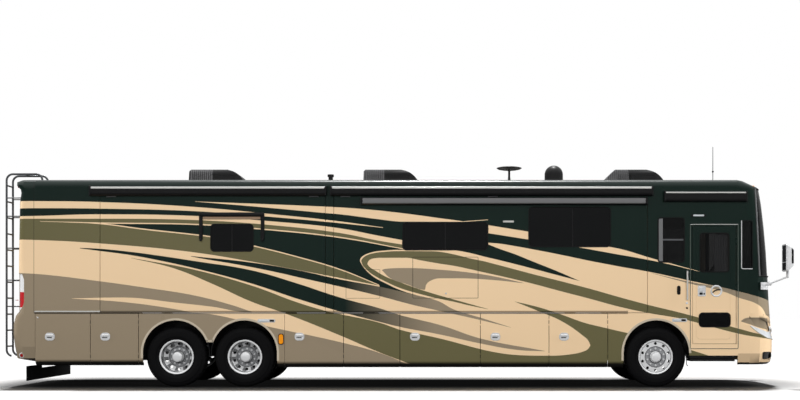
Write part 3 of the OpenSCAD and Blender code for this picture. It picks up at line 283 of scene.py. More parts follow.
SWOOSHES = [
    # colour, upper line, lower line, first column, last column
    (TAN, LOWER_EDGE_OF_OLIVE, None, 0, 379.5),
    (TAN, OUTLINE, [(360, 261.4), (363, 266.4), (366, 270.2), (370, 274), (375, 277.8), (385, 283),
                    (400, 290),
                    (420, 296.2), (443, 303.5)], 360, 443),
    (TAN, OUTLINE, None, 443, 582),
    (TAN, TAN_TOP, [(487, 243.9), (500, 249), (515, 254.2), (530, 260.3), (560, 272.4), (582, 282)], 487,
     582.2),
    (TAN, TAN_TOP, None, 582, 800),
    (TAN, [(379, 287), (396, 292), (420, 300), (445, 306)], None, 379, 800),
    (TAUPE, [(0, 270.5), (18, 272.8), (40, 274.2), (97, 280.9), (145, 287.6), (193, 295.2),
             (231, 304.8), (256, 313), (268, 316), (340, 334), (400, 356)], None, 0, 416),
    (TAN, [(72, 298.4), (122, 297.5), (178, 302.9), (212, 306.7), (250, 312.4), (262, 300),
           (300, 300), (416, 340)],
     [(72, 298.6), (122, 301.9), (178, 309.6), (193, 312.6)] + WEDGE_EDGE, 72, 416),
    (OLIVE, [(131, 257.8), (193, 269.4), (252, 285.7), (298, 302.6), (327, 311.2), (340, 314.1),
             (380, 322.8), (400, 329.7), (440, 338.5), (496, 352.4), (549, 355.7), (572, 354.1),
             (588, 349.3), (590.4, 345.3)],
     [(131, 258), (174, 268.4), (212, 283.7), (252, 301.9), (285, 313.4), (340, 335.4), (380, 352.6),
      (416, 366)], 131, 416),
    (OLIVE, [(416, 333.2), (440, 338.5), (496, 352.4), (520, 355.2), (549, 355.7), (572, 354.1),
             (583, 351.6),
             (588, 349), (590.4, 345.3)], None, 416, 590.4),
    (OLIVE, [(515, 301.5), (540, 307.6), (556, 312.7), (588, 323.8), (629, 333.4), (650, 338)],
     [(515, 301.7), (540, 311.8), (562, 321.4), (583, 335.8), (588.5, 341), (590.4, 345.3)], 515, 590.4),
    (OLIVE, [(590.4, 324.4), (629, 333.4), (650, 338)], None, 590.4, 660),
    (OLIVE, [(0, 218.7), (97, 218.7), (199, 220.2), (270, 225), (340, 233), (380, 240.9), (403, 244.6)],
     [(0, 222.4), (97, 223), (199, 224.4), (254, 228.3), (340, 237.3), (403, 248.9)], 0, 404),
    (OLIVE, [(0, 220), (40, 221.6), (97, 223.3), (145, 229.2), (193, 234.4), (210, 236.5),
             (252, 245.5), (298, 257), (340, 269.4), (379, 285)], LOWER_EDGE_OF_OLIVE, 0, 379),
    (TAN, [(40, 221.2), (97, 222.4), (199, 223.9), (254, 227.8), (340, 236.8), (403, 248.4)],
     [(40, 221.3), (97, 223.4), (199, 225.1), (254, 229), (340, 238), (403, 249.2)], 40, 404),
    (TAN, [(40, 221.3), (97, 222.9), (145, 228.7), (193, 233.9), (210, 236), (252, 245),
           (298, 256.5), (340, 268.9), (379, 284.6)],
     [(40, 221.5), (97, 223.9), (145, 229.9), (193, 235.1), (210, 237.2), (252, 246.1), (298, 257.6),
      (340, 270), (379, 285.4)], 40, 379),
    (TAN, [(0, 201), (40, 201.1), (97, 201.9), (193, 206.8), (270, 213.9), (340, 221.4), (383, 227.4)],
     [(0, 208.5), (40, 208.2), (97, 208.6), (199, 211.4), (270, 216.8), (340, 223.2), (383, 227.8)], 0,
     383),
    (TAN, [(0, 216.5), (40, 215.8), (97, 214.3), (193, 215.8), (270, 221.2), (340, 228.3),
           (380, 236), (403, 240.2)],
     [(0, 219), (40, 218.7), (97, 218.7), (199, 220.2), (270, 225), (340, 233), (380, 240.9), (403, 244.6)],
     0, 404),
    (TAN, [(195, 201.4), (325, 206.6), (340, 207.4), (380, 210.6), (464, 221.4)],
     [(195, 201.6), (260, 207), (325, 213), (340, 214.3), (380, 219.4), (400, 221.6), (464, 221.8)], 195,
     464),
    (TAN, [(464, 221.2), (488, 219.5)], [(464, 221.8), (488, 220.1)], 464, 488),
    ("fade", [(191, 256), (252, 262.6), (298, 270.2), (340, 279.4), (380, 286.8), (413, 294.4),
              (438, 301), (454, 309.5), (481, 317.8), (511, 327.4)],
     [(191, 256.4), (200, 258.2), (240, 265), (280, 273), (298, 277.2), (340, 286.6), (380, 296.2),
      (413, 304.9), (440, 311),
      (481, 320.2), (511, 327.6)], 191, 511),
    ("fade", [(80, 247.8), (100, 248.8), (130, 251.8), (160, 255.8), (193, 260.8), (252, 270.4),
              (298, 283.7), (340, 297.5),
              (380, 308.4), (400, 315), (440, 325), (481, 338.6), (545, 351)],
     [(80, 248.4), (100, 251), (130, 255), (160, 260.6), (200, 269.6), (252, 283.7), (298, 299),
      (340, 311.5), (380, 322),
      (400, 326.9), (440, 334.5), (481, 343.6), (520, 350.2), (545, 351.2)], 80, 545),
    (OLIVE, [(361.2, 260.6), (362.2, 258.8), (364, 257.0), (367, 255.2), (373, 253.3), (385, 251.8),
             (400, 251.1),
             (436, 251.4), (455, 254.6), (470, 258.4), (485, 261.5), (488, 262.3)],
     [(361.2, 261.2), (363, 265.6), (366, 269), (370, 272.7), (375, 276), (385, 281.3), (400, 288),
      (420, 294),
      (440, 298.9), (455, 302), (470, 305.6), (488, 309.2)], 361.2, 488),
    (OLIVE, [(488, 262.3), (500, 265.4), (530, 273.4), (560, 281), (590, 288.8), (620, 297.3), (650, 305.3),
             (680, 312.6), (742, 329.5), (758, 333.6), (800, 338)], BAND_FOOT, 488, 800),
    (TAN, [(367.4, 263.6), (368.6, 260.9), (371, 259.2), (375, 258.2), (382, 257.8)] + BAND_FOOT[:7],
     [(367.4, 264.2), (369.5, 266.8), (375, 270.4), (385, 276.3), (400, 282.2), (420, 289.4), (440, 295.6),
      (455, 299.8), (470, 304), (488, 309)], 367.4, 488),
    (TAUPE, [(382, 269.9), (385, 268.9), (406, 268), (440, 269.7), (470, 272.6), (485, 274.8), (500, 277.6),
             (524, 283)],
     [(382, 270.3), (390, 278), (406, 284), (425, 289.8), (425.6, 286), (431, 280.5), (443, 278.3),
      (456, 278.3), (489, 279.7), (524, 283.2)], 382, 524),
    (TAN, [(486, 224.8), (530, 231.9)], [(486, 232.8), (530, 239.8)], 486, 530),
    (TAN, [(573, 246), (607, 246.5), (658, 260), (699, 271.2)],
     [(573, 246.3), (609, 252.8), (658, 261.8), (699, 271.4)], 573, 699),
    (TAUPE, [(650, 272.6), (693, 282.4), (725, 287.9), (738, 291.3), (769, 299.3), (800, 307)],
     [(650, 272.8), (691, 283.9), (725, 292.1), (738, 297.4), (757, 303.8), (763, 307.7), (769, 315.3),
      (800, 322)], 650, 800),
    (OLIVE, [(686, 348.4), (709, 355.7)], [(686, 360), (709, 360)], 686, 709),
    # Painted shade: this taupe leaf is the shade of the headlamp's brow recess, not a stripe.
    (TAUPE, [(741, 320.8), (745, 318.3), (752, 317.4), (760, 317.4), (770, 318.6)],
     [(741, 321.4), (747, 323.4), (752, 325), (759, 327.3), (770, 330)], 741, 770),
]
print("swooshes:", len(SWOOSHES))


# %% Body paint
# Rows and columns of the belt moulding's painted shadow under the rooms and of the rear cap's joint.
BELT_TOP, BELT_FOOT = 310.8, 314.0
JOINT_COLUMN, BELT_END = 34.0, 628.0


def paint_shader(name):
    finish = Finish(name, Roughness=0.3, Specular_IOR_Level=0.28, Coat_Weight=0.2, Coat_Roughness=0.04)
    x, y, z = finish.place()
    column = x / PIXEL + MIDDLE_COLUMN
    row = GROUND_ROW - z / PIXEL
    faded = finish.mix(((column - 345.0) / 90.0).clamped(), GREEN, TAUPE)
    colour = GREEN
    for layer, upper, lower, start, end in SWOOSHES:
        sprayed = faded if layer == "fade" else layer
        colour = swoosh(finish, colour, sprayed, column, row, upper, lower, start, end)
    # Inner faces of the panels are cabin wall; the middle of the roof is left white.
    across = y.maths("ABSOLUTE")
    inside = (across < HALF_WIDTH - 0.03) * (x < FRONT_SEAM - 0.004) * (x > REAR_SEAM + 0.008)
    # The belt moulding's shadow is painted on the doors as a soft dark line, and the rear cap's joint as a
    # fine dark line.
    belt = (row > BELT_TOP) * (row < BELT_FOOT) * (column > JOINT_COLUMN) * (column < BELT_END)
    joint = (column > JOINT_COLUMN - 0.7) * (column < JOINT_COLUMN + 0.3) * (row < BELT_FOOT - 1.0)
    colour = finish.mix((belt * 0.62).maths("MAXIMUM", joint * 0.35), colour, srgb(14, 12, 10))
    colour = finish.mix(inside * (z < ROOF_TOP - 0.05), colour, CREAM)
    colour = finish.mix(inside * (z < FLOOR_TOP), colour, UNDERBODY)
    roof_middle = (z > ROOF_TOP - 0.02) * (across < HALF_WIDTH - 0.32) * (x < FRONT_SEAM) * (x > REAR_SEAM)
    colour = finish.mix(roof_middle, colour, ROOF_WHITE)
    # Painted shade: a panel darkens where it turns under the body below the floor; a faint random tone lies
    # over all the paint.
    normal = finish.node("ShaderNodeNewGeometry", output=1)
    facing = finish.node("ShaderNodeSeparateXYZ", output=2, Vector=normal)
    underside_shade_and_tone = (facing * -2.2).clamped() * (z < FLOOR_TOP) + finish.noise(0.7, 2.0) * 0.04
    finish.feed("Base Color", finish.mix(underside_shade_and_tone.clamped(), colour, srgb(24, 23, 21)))
    finish.feed("Roughness", finish.noise(3.0, 2.0) * 0.1 + 0.25)
    finish.bump(finish.noise(60.0, 2.0), 0.03, 0.002)
    return finish.material


body_paint = paint_shader("body_paint_striped")
print("body paint:", len(body_paint.node_tree.nodes), "nodes")

# %% [markdown]
# ## The other finishes
# Each gets the small irregularity its real surface shows: rubber is never one grey,
# and moulded black covers are grained.


# %% Finishes
# Forward edge of the corner lamp's lens: a row, and its column times the scale.
LEAF_SCALE = 12.0
LEAF_EDGE = [(272, 246), (280, 283), (290, 292), (298, 290), (306, 267), (310, 228), (314, 168)]
# The black outer cap of a mirror head, and the slotted rear parts of the roof units.
CAP_FRONT, CAP_FOOT = 6.785, 2.13
GRILLE_STARTS, GRILLE_LENGTH = (-3.74, -0.62, 3.79), 0.40


def simple(name, colour, rough, metal=0.0, coat=0.0, variation=0.12, scale=8.0, grain=0.0,
           grain_scale=300.0,
           shine=0.3):
    """A finish whose colour and roughness drift a little over the surface."""
    finish = Finish(name, Metallic=metal, Coat_Weight=coat, Specular_IOR_Level=shine)
    drift = finish.noise(scale)
    darker = tuple(c * (1 - variation) for c in colour[:3]) + (1.0,)
    finish.feed("Base Color", finish.mix(drift, darker, colour))
    finish.feed("Roughness", drift * 0.12 + (rough - 0.06))
    if grain:
        finish.bump(finish.noise(grain_scale, 2.0), grain, 0.002)
    return finish.material


def split_lens(name, limit, above, below):
    """A lamp's lens in two colours that meet at one height, ribbed inside."""
    finish = Finish(name, Roughness=0.12, Coat_Weight=1.0)
    x, y, z = finish.place()
    ribs = ((z * 420.0).maths("SINE") * 0.5 + 0.5) * 0.35
    low = finish.mix(ribs, below, srgb(20, 4, 4))
    high = finish.mix(ribs, above, srgb(150, 150, 150))
    finish.feed("Base Color", finish.mix(z > limit, low, high))
    return finish.material


def leaf_lens(name):
    """The rear corner lamp: a leaf-shaped lens with a red middle, in its painted moulding."""
    finish = Finish(name, Roughness=0.12, Coat_Weight=0.6)
    x, y, z = finish.place()
    row = GROUND_ROW - z / PIXEL
    ribs = ((z * 300.0).maths("SINE") * 0.5 + 0.5) * 0.4
    clear = finish.mix(ribs, srgb(236, 236, 236), srgb(150, 152, 155))
    red = finish.mix(ribs, srgb(196, 24, 34), srgb(96, 8, 12))
    lens = finish.mix((row > 292.0) * (row < 307.5), clear, red)
    edge = curve(finish, row, LEAF_EDGE) / LEAF_SCALE
    moulding = (x / PIXEL + MIDDLE_COLUMN) > edge
    finish.feed("Base Color", finish.mix(moulding, lens, TAUPE))
    return finish.material


def ring(radius, inner, outer):
    return (radius > inner) * (radius < outer)


def turned_metal(name):
    """A polished wheel: bright flange and disc, with painted shade where the disc steps down and round the
    nuts.
    """
    finish = Finish(name, Metallic=0.4)
    x, y, z = finish.place()
    along_axles = [(x - axle).maths("ABSOLUTE") for axle in (FRONT_AXLE, DRIVE_AXLE, TAG_AXLE)]
    dx = along_axles[0].maths("MINIMUM", along_axles[1]).maths("MINIMUM", along_axles[2])
    dz = z - WHEEL_HEIGHT
    radius = (dx * dx + dz * dz).maths("SQRT")
    # Painted shade: dark rings where the disc steps down, and the nuts' seats a darker grey.
    groove_shade = ring(radius, 0.096, 0.112) + ring(radius, 0.174, 0.186) + ring(radius, 0.262, 0.270)
    seats = ring(radius, 0.112, 0.174)
    turned = finish.mix(seats * 0.75, srgb(246, 247, 248), srgb(120, 122, 126))
    nearer = (x - DRIVE_AXLE).maths("ABSOLUTE") < (x - TAG_AXLE).maths("ABSOLUTE")
    centre_x = nearer * (DRIVE_AXLE - TAG_AXLE) + TAG_AXLE
    angle = dz.maths("ARCTAN2", x - centre_x)
    # Painted shade: the rear wheels' discs are darker round their ten hand holes.
    windows = (((angle - math.radians(9)) * 10.0).maths("COSINE") > 0.15) * (x < 0.0)
    turned = finish.mix(windows * ring(radius, 0.190, 0.258) * 0.8, turned, srgb(60, 61, 64))
    finish.feed("Base Color", finish.mix(groove_shade * 0.85, turned, srgb(46, 47, 50)))
    finish.feed("Roughness", finish.noise(30.0) * 0.1 + 0.12)
    return finish.material


def capped_shell(name):
    """A mirror's chrome shell with a black outer cap."""
    finish = Finish(name, Metallic=0.4, Roughness=0.12)
    x, y, z = finish.place()
    cap = (x > CAP_FRONT) * (z > CAP_FOOT)
    bright = finish.mix(finish.noise(6.0), srgb(246, 246, 247), srgb(226, 227, 229))
    finish.feed("Base Color", finish.mix(cap, bright, srgb(12, 12, 13)))
    return finish.material


def ribbed_cover(name):
    """A roof unit's moulded cover, with a paler slotted grille on its rear part."""
    finish = Finish(name, Roughness=0.45, Specular_IOR_Level=0.3)
    x, y, z = finish.place()
    slots = (x * 170.0).maths("SINE") * 0.5 + 0.5
    grille = finish.mix(slots, srgb(30, 30, 31), srgb(92, 92, 94))
    rear_parts = [(x > start) * (x < start + GRILLE_LENGTH) for start in GRILLE_STARTS]
    part = rear_parts[0] + rear_parts[1] + rear_parts[2]
    cover = finish.mix(finish.noise(8.0), srgb(14, 14, 15), srgb(20, 20, 21))
    finish.feed("Base Color", finish.mix(part, cover, grille))
    return finish.material


def tinted_glass(name, alpha):
    finish = Finish(name, Roughness=0.03, Specular_IOR_Level=0.4, Alpha=alpha)
    finish.feed("Base Color", finish.mix(finish.noise(1.2), srgb(5, 6, 7), srgb(13, 14, 15)))
    return finish.material


rubber = simple("tyre_rubber", srgb(13, 13, 14), 0.72, variation=0.25, scale=5.0, grain=0.25,
                grain_scale=400,
                shine=0.15)
black_trim = simple("black_moulding", srgb(18, 18, 19), 0.42, variation=0.2, grain=0.15)
awning_cover = simple("awning_cover", srgb(17, 17, 18), 0.35, variation=0.15)
grey_sash_and_seal_highlight = simple("sliding_sash_and_seal_highlight", srgb(104, 105, 106), 0.4, variation=0.1)
patio_cover = simple("patio_cover", srgb(104, 104, 105), 0.45, variation=0.08, scale=3)
gasket = simple("window_gasket", srgb(10, 10, 10), 0.55, grain=0.1)
chrome = simple("chrome", srgb(244, 245, 246), 0.12, metal=0.5, variation=0.05)
polished = turned_metal("polished_aluminium")
mirror_shell = capped_shell("mirror_shell")
shroud = ribbed_cover("shroud")
ladder_tube = simple("ladder_rail", srgb(84, 86, 89), 0.3, metal=0.4, variation=0.1)
satin_metal = simple("ladder_tube", srgb(150, 152, 156), 0.32, metal=1.0, variation=0.1)
bright_strip = simple("bright_strip", srgb(186, 186, 182), 0.3, coat=0.3, variation=0.08)
chassis_paint = simple("chassis_paint", srgb(26, 26, 27), 0.55, variation=0.3, grain=0.2, grain_scale=90)
board = simple("underfloor_board", srgb(40, 39, 37), 0.7, variation=0.25)
roof_skin = simple("roof_skin", ROOF_WHITE, 0.5, variation=0.08, grain=0.1, grain_scale=60)
leather = simple("seat_leather", srgb(168, 140, 108), 0.5, variation=0.15, grain=0.35, grain_scale=220)
amber = simple("amber_lens", srgb(245, 150, 18), 0.2, coat=0.5, variation=0.15, scale=30)
red_lens = simple("red_lens", srgb(150, 12, 14), 0.15, coat=0.8, variation=0.2, scale=30)
white_lens = simple("clear_lens", srgb(206, 212, 216), 0.12, coat=0.8, variation=0.25, scale=12)
mirror_glass = simple("mirror_glass", srgb(205, 212, 218), 0.03, metal=1.0, variation=0.04)
lip_paint = simple("arch_lip", srgb(190, 178, 158), 0.35, coat=0.2)
blank_plate = simple("blank_plate", srgb(225, 226, 224), 0.4, coat=0.2, variation=0.06)
head_lens = split_lens("head_lens", 0.70, srgb(214, 218, 222), srgb(20, 20, 21))
tail_lens = leaf_lens("tail_lens")
glass = tinted_glass("tinted_glass", 1.0)
cab_glass = tinted_glass("cab_glass", 0.78)
door_glass = tinted_glass("entry_door_glass", 0.5)
curtain_cloth = simple("curtain_cloth", srgb(150, 150, 152), 0.85, variation=0.2, scale=40)
print("finishes:", len(bpy.data.materials))

# %% [markdown]
# ## Working by hand in code
# Every operator acts on what is selected, so each step starts from nothing selected.
# `settle` ends a piece: its place goes into its mesh, it gets its finish, and it
# rides on the body that carries it.


# %% Modelling helpers
def select_none():
    if bpy.context.mode != "OBJECT":
        bpy.ops.object.mode_set(mode="OBJECT")
    bpy.ops.object.select_all(action="DESELECT")


def take(piece):
    select_none()
    piece.select_set(True)
    bpy.context.view_layer.objects.active = piece


def edit(piece):
    take(piece)
    bpy.ops.object.mode_set(mode="EDIT")
    bpy.ops.mesh.select_all(action="SELECT")


def apply_modifier(piece, kind, **settings):
    take(piece)
    modifier = piece.modifiers.new(kind.title(), kind)
    for key, value in settings.items():
        setattr(modifier, key, value)
    bpy.ops.object.modifier_apply(modifier=modifier.name)


def soften(piece, width, segments=2, angle=35, smooth=40):
    """Round the sharp edges, shade the rest smooth and keep broad faces flat."""
    if width:
        apply_modifier(piece, "BEVEL", width=width, segments=segments, limit_method="ANGLE",
                       angle_limit=math.radians(angle))
    take(piece)
    bpy.ops.object.shade_smooth_by_angle(angle=math.radians(smooth))
    apply_modifier(piece, "WEIGHTED_NORMAL", keep_sharp=True)


def settle(piece, name, material, body="root"):
    take(piece)
    bpy.ops.object.transform_apply(location=True, rotation=True, scale=True)
    piece.name = name
    piece.data.materials.clear()
    piece.data.materials.append(material)
    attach(piece, body)
    return piece


def rounded_box(name, low, high, radius, material, body="root", segments=3):
    select_none()
    bpy.ops.mesh.primitive_cube_add(size=1, location=[(a + b) / 2 for a, b in zip(low, high)])
    piece = bpy.context.object
    piece.scale = [b - a for a, b in zip(low, high)]
    bpy.ops.object.transform_apply(location=True, rotation=True, scale=True)
    soften(piece, radius, segments)
    return settle(piece, name, material, body)


def side_box(name, side, x0, x1, z0, z1, out, radius, material, body="root", into=0.004):
    """A rounded bar that stands out from a side wall."""
    near, far = sorted((side * (HALF_WIDTH - into), side * (HALF_WIDTH + out)))
    return rounded_box(name, (x0, near, z0), (x1, far, z1), radius, material, body)


def wall_plate(name, side, box, radius, out, depth, material, body="root", rim=None, edge=0.002):
    """A plate on a side wall with rounded corners; rim leaves only a frame that wide."""
    x0, z0, x1, z1 = box
    select_none()
    bpy.ops.mesh.primitive_plane_add(size=1, location=((x0 + x1) / 2, side * (HALF_WIDTH + out),
                                                       (z0 + z1) / 2),
                                     rotation=(math.radians(90), 0, 0))
    piece = bpy.context.object
    piece.scale = (x1 - x0, z1 - z0, 1)
    bpy.ops.object.transform_apply(location=False, rotation=True, scale=True)
    edit(piece)
    bpy.ops.mesh.bevel(offset=radius, segments=8, affect="VERTICES")
    bpy.ops.mesh.select_all(action="SELECT")
    if rim:
        bpy.ops.mesh.inset(thickness=rim, depth=0)
        bpy.ops.mesh.delete(type="FACE")
        bpy.ops.mesh.select_all(action="SELECT")
    bpy.ops.mesh.extrude_region_move(TRANSFORM_OT_translate={"value": (0, -side * depth, 0)})
    bpy.ops.mesh.select_all(action="SELECT")
    bpy.ops.mesh.normals_make_consistent(inside=False)
    bpy.ops.object.mode_set(mode="OBJECT")
    soften(piece, edge, 2)
    return settle(piece, name, material, body)


def lathe(name, profile, centre, steps, material, body="root", edge=0.0, direction="Y", side=1):
    """Turn a profile of (radius, offset) pairs about an axis through the centre. A profile
    that comes back to its first point makes a ring; any other is closed at its ends."""
    turn = {"X": (0, math.radians(90), 0), "Y": (math.radians(90), 0, 0), "Z": (0, 0, 0)}[direction]
    unit = Vector({"X": (1, 0, 0), "Y": (0, 1, 0), "Z": (0, 0, 1)}[direction]) * side
    plain = [0.0 if abs(u) > 0.5 else 1.0 for u in unit]
    centre = Vector(centre)
    select_none()
    radius, offset = profile[0]
    bpy.ops.mesh.primitive_circle_add(vertices=steps, radius=radius, location=centre + unit * offset,
                                      rotation=turn)
    piece = bpy.context.object
    bpy.ops.object.transform_apply(location=True, rotation=True, scale=True)
    edit(piece)
    for next_radius, next_offset in profile[1:]:
        bpy.ops.mesh.extrude_edges_move(TRANSFORM_OT_translate={"value": unit * (next_offset - offset)})
        factor = next_radius / radius
        bpy.ops.transform.resize(value=[factor if p else 1.0 for p in plain], center_override=centre)
        radius, offset = next_radius, next_offset
    bpy.ops.mesh.select_all(action="SELECT")
    bpy.ops.mesh.remove_doubles(threshold=0.00002)
    bpy.ops.mesh.select_all(action="DESELECT")
    bpy.ops.mesh.select_non_manifold(extend=False)
    if any(v.select for v in piece.data.vertices) or profile[0] != profile[-1]:
        bpy.ops.mesh.edge_face_add()
    bpy.ops.mesh.select_all(action="SELECT")
    bpy.ops.mesh.normals_make_consistent(inside=False)
    bpy.ops.object.mode_set(mode="OBJECT")
    soften(piece, edge, 2)
    return settle(piece, name, material, body)


def bend(points, radius, steps=6):
    """Replace each inner corner of a path by a short arc."""
    track = [Vector(points[0])]
    for before, corner, after in zip(points, points[1:], points[2:]):
        corner = Vector(corner)
        start = corner + (Vector(before) - corner).normalized() * radius
        end = corner + (Vector(after) - corner).normalized() * radius
        track += [start.lerp(corner, t / steps).lerp(corner.lerp(end, t / steps), t / steps)
                  for t in range(steps + 1)]
    return track + [Vector(points[-1])]


def tube(name, points, radius, material, body="root", cyclic=False, corner=0.0):
    """A bent tube through points, with its corners drawn round."""
    shape = bpy.data.curves.new(name, "CURVE")
    shape.dimensions = "3D"
    shape.bevel_depth = radius
    shape.bevel_resolution = 3
    shape.use_fill_caps = True
    path = shape.splines.new("POLY")
    track = bend(points, corner) if corner else points
    path.points.add(len(track) - 1)
    for place, point in zip(path.points, track):
        place.co = (*point, 1)
    path.use_cyclic_u = cyclic
    piece = bpy.data.objects.new(name, shape)
    bpy.context.collection.objects.link(piece)
    take(piece)
    bpy.ops.object.convert(target="MESH")
    bpy.ops.object.shade_smooth_by_angle(angle=math.radians(50))
    return settle(bpy.context.object, name, material, body)


def arch_band(name, side, centre_x, inner, outer, first, last, out, material):
    """A flat lip round a wheel arch, spun from one end of the arch to the other."""
    select_none()
    start = math.radians(first)
    middle = (inner + outer) / 2
    bpy.ops.mesh.primitive_plane_add(size=1, location=(centre_x + middle * math.cos(start),
                                                       side * (HALF_WIDTH + out - 0.012),
                                                       ARCH_HEIGHT + middle * math.sin(start)))
    piece = bpy.context.object
    piece.scale = (outer - inner, 0.024, 1)
    bpy.ops.object.transform_apply(location=False, rotation=False, scale=True)
    piece.rotation_euler.y = -start
    bpy.ops.object.transform_apply(location=True, rotation=True, scale=True)
    edit(piece)
    bpy.ops.mesh.spin(steps=40, angle=math.radians(last - first), center=(centre_x, 0, ARCH_HEIGHT),
                      axis=(0, 1, 0))
    bpy.ops.mesh.select_all(action="DESELECT")
    bpy.ops.mesh.select_non_manifold(extend=False)
    bpy.ops.mesh.edge_face_add()
    bpy.ops.mesh.select_all(action="SELECT")
    bpy.ops.mesh.normals_make_consistent(inside=False)
    bpy.ops.object.mode_set(mode="OBJECT")
    soften(piece, 0.005, 2, angle=50)
    return settle(piece, name, material)


def copy_of(piece, name, offset=(0, 0, 0), mirrored=False, body="root"):
    """A second piece with its own mesh, moved or mirrored to the other side."""
    new = piece.copy()
    new.data = piece.data.copy()
    bpy.context.collection.objects.link(new)
    new.parent = None
    new.matrix_world = Matrix.Translation(offset) @ piece.matrix_world
    if mirrored:
        new.matrix_world = Matrix.Scale(-1, 4, (0, 1, 0)) @ new.matrix_world
        take(new)
        bpy.ops.object.transform_apply(location=True, rotation=True, scale=True)
        edit(new)
        bpy.ops.mesh.normals_make_consistent(inside=False)
        bpy.ops.object.mode_set(mode="OBJECT")
    return settle(new, name, piece.data.materials[0], body)


def dressed(node, name, material, width=0.003, angle=35, smooth=40):
    """Copy a node's solid, join its loose triangles, round its edges and stand in for it."""
    new = bpy.data.objects.new(name, frame["nodes"][node].data.copy())
    bpy.context.collection.objects.link(new)
    edit(new)
    bpy.ops.mesh.remove_doubles(threshold=0.0001)
    bpy.ops.mesh.dissolve_limited(angle_limit=math.radians(0.5))
    bpy.ops.object.mode_set(mode="OBJECT")
    soften(new, width, 2, angle, smooth)
    new.data.materials.clear()
    new.data.materials.append(material)
    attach(new, body_of[node])
    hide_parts(node)
    return new


def paint_node(node, material):
    """Give a node that stays as it is its finish."""
    piece = frame["nodes"][node]
    for place in piece.material_slots:
        place.material = material
    if not piece.material_slots:
        piece.data.materials.append(material)


print("helpers ready")

# %% [markdown]
# ## Painted panels
# Walls, doors, rooms and the two moulded caps keep their solids' shapes. Sheet metal
# and moulded skins never end in a razor edge, so each panel is copied, its edges are
# rounded by a few millimetres, and the copy stands in for the solid. All of them
# share one paint, which reads the vehicle's own coordinates, so that a stripe runs
# on over every gap and stays on its panel when a door or a room moves.

# %% Panels
doors = [name for name in body_of if name.startswith("bay_door")]
panels = doors + ["wall_right", "wall_left", "skirts", "entry_door", "slide_rear", "slide_front",
                  "slide_left"]
for node in panels:
    dressed(node, "painted_" + node, body_paint, width=0.003)
for node in ("front_cap", "rear_cap", "roof"):
    dressed(node, "painted_" + node, body_paint, width=0, smooth=25)
print("painted panels:", len(panels) + 3)

# %% [markdown]
# ## Pieces that only need a finish
# What is under the floor, on the roof and behind the glass is plain on the real
# coach too: it keeps its solid, rounded where a hand or the light would find the
# edge, and gets the matching material.

# %% Finishes of the other nodes
plain = {
    chassis_paint: ["chassis_frame", "hitch_receiver", "axles", "engine_block", "knuckle_left",
                    "knuckle_right"],
    board: ["floor", "basement"],
    door_glass: ["entry_door_glass"],
    glass: ["slide_rear_glass", "slide_front_glass", "slide_left_glass"],
}
for material, nodes in plain.items():
    for node in nodes:
        paint_node(node, material)
rounded = [("cab_glass", cab_glass, 0, 25), ("air_conditioners", shroud, 0.02, 40),
           ("roof_antennas", black_trim, 0.003, 40), ("ladder", ladder_tube, 0, 60),
           ("mirrors", mirror_shell, 0, 60),
           ("head_lamps", head_lens, 0, 40), ("tail_lamps", tail_lens, 0, 40),
           ("grab_rail", bright_strip, 0, 50),
           ("door_awning", awning_cover, 0.004, 40), ("slide_rear_awning", awning_cover, 0.004, 40),
           ("slide_front_awning", awning_cover, 0.004, 40), ("slide_left_awning", awning_cover, 0.004, 40),
           ("rock_flap", rubber, 0.004, 40), ("entry_step", black_trim, 0.006, 40),
           ("seats", leather, 0.02, 50),
           ("dashboard", black_trim, 0.015, 50)]
for node, material, width, smooth in rounded:
    dressed(node, node + "_finished", material, width=width, smooth=smooth)
for node in [name for name in body_of if name.startswith("rim_")]:
    dressed(node, "polished_" + node, polished, width=0.002)
print("finished nodes:", len(rounded))

# %% [markdown]
# ## Tyres and wheel nuts
# A highway tyre has straight ribs with fine cuts across them and a notched shoulder.
# One is turned from its section, then every fourth face of the shoulder and every sixth of the ribs
# is pushed in. The other seven are copies of it.

# %% Tyres
GROOVE, RIB_TOP, SHOULDER = 0.508, 0.520, 0.088
half_section = [(0.2985, 0.090), (0.2985, 0.115), (0.306, 0.124), (0.330, 0.136), (0.345, 0.139),
                (0.348, 0.142),
                (0.376, 0.1445), (0.412, 0.1448), (0.440, 0.143), (0.443, 0.140), (0.470, 0.136),
                (0.492, 0.127),
                (0.507, 0.114), (0.516, 0.100), (RIB_TOP, 0.088), (RIB_TOP, 0.062), (GROOVE, 0.060),
                (GROOVE, 0.052), (RIB_TOP, 0.050), (RIB_TOP, 0.026), (GROOVE, 0.024), (GROOVE, 0.016),
                (RIB_TOP, 0.014)]
cavity = [(0.330, -0.110), (0.420, -0.125), (0.490, -0.085), (0.490, 0.085), (0.420, 0.125), (0.330, 0.110)]
section = half_section + [(r, -w) for r, w in reversed(half_section)] + cavity + [half_section[0]]
TREAD_STEPS = 144

first_tyre = lathe("tyre_tread_front_left", section, (FRONT_AXLE, TYRE_Y, WHEEL_HEIGHT), TREAD_STEPS,
                   rubber,
                   "wheel_front_left")
edit(first_tyre)
bpy.ops.mesh.select_all(action="DESELECT")
bpy.ops.object.mode_set(mode="OBJECT")
for face in first_tyre.data.polygons:
    dx = face.center.x - FRONT_AXLE
    dy = abs(face.center.y - TYRE_Y)
    dz = face.center.z - WHEEL_HEIGHT
    step = int((math.atan2(dz, dx) + math.pi) / (2 * math.pi) * TREAD_STEPS)
    outer = math.hypot(dx, dz) > GROOVE
    rib = outer and dy < SHOULDER and step % 6 == int(dy * 60) % 6
    shoulder = outer and dy > SHOULDER and step % 4 == 0
    face.select = rib or shoulder
bpy.ops.object.mode_set(mode="EDIT")
bpy.ops.mesh.inset(thickness=0.0015, use_individual=True)
bpy.ops.transform.shrink_fatten(value=-0.007)
bpy.ops.object.mode_set(mode="OBJECT")
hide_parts("tyre_front_left")

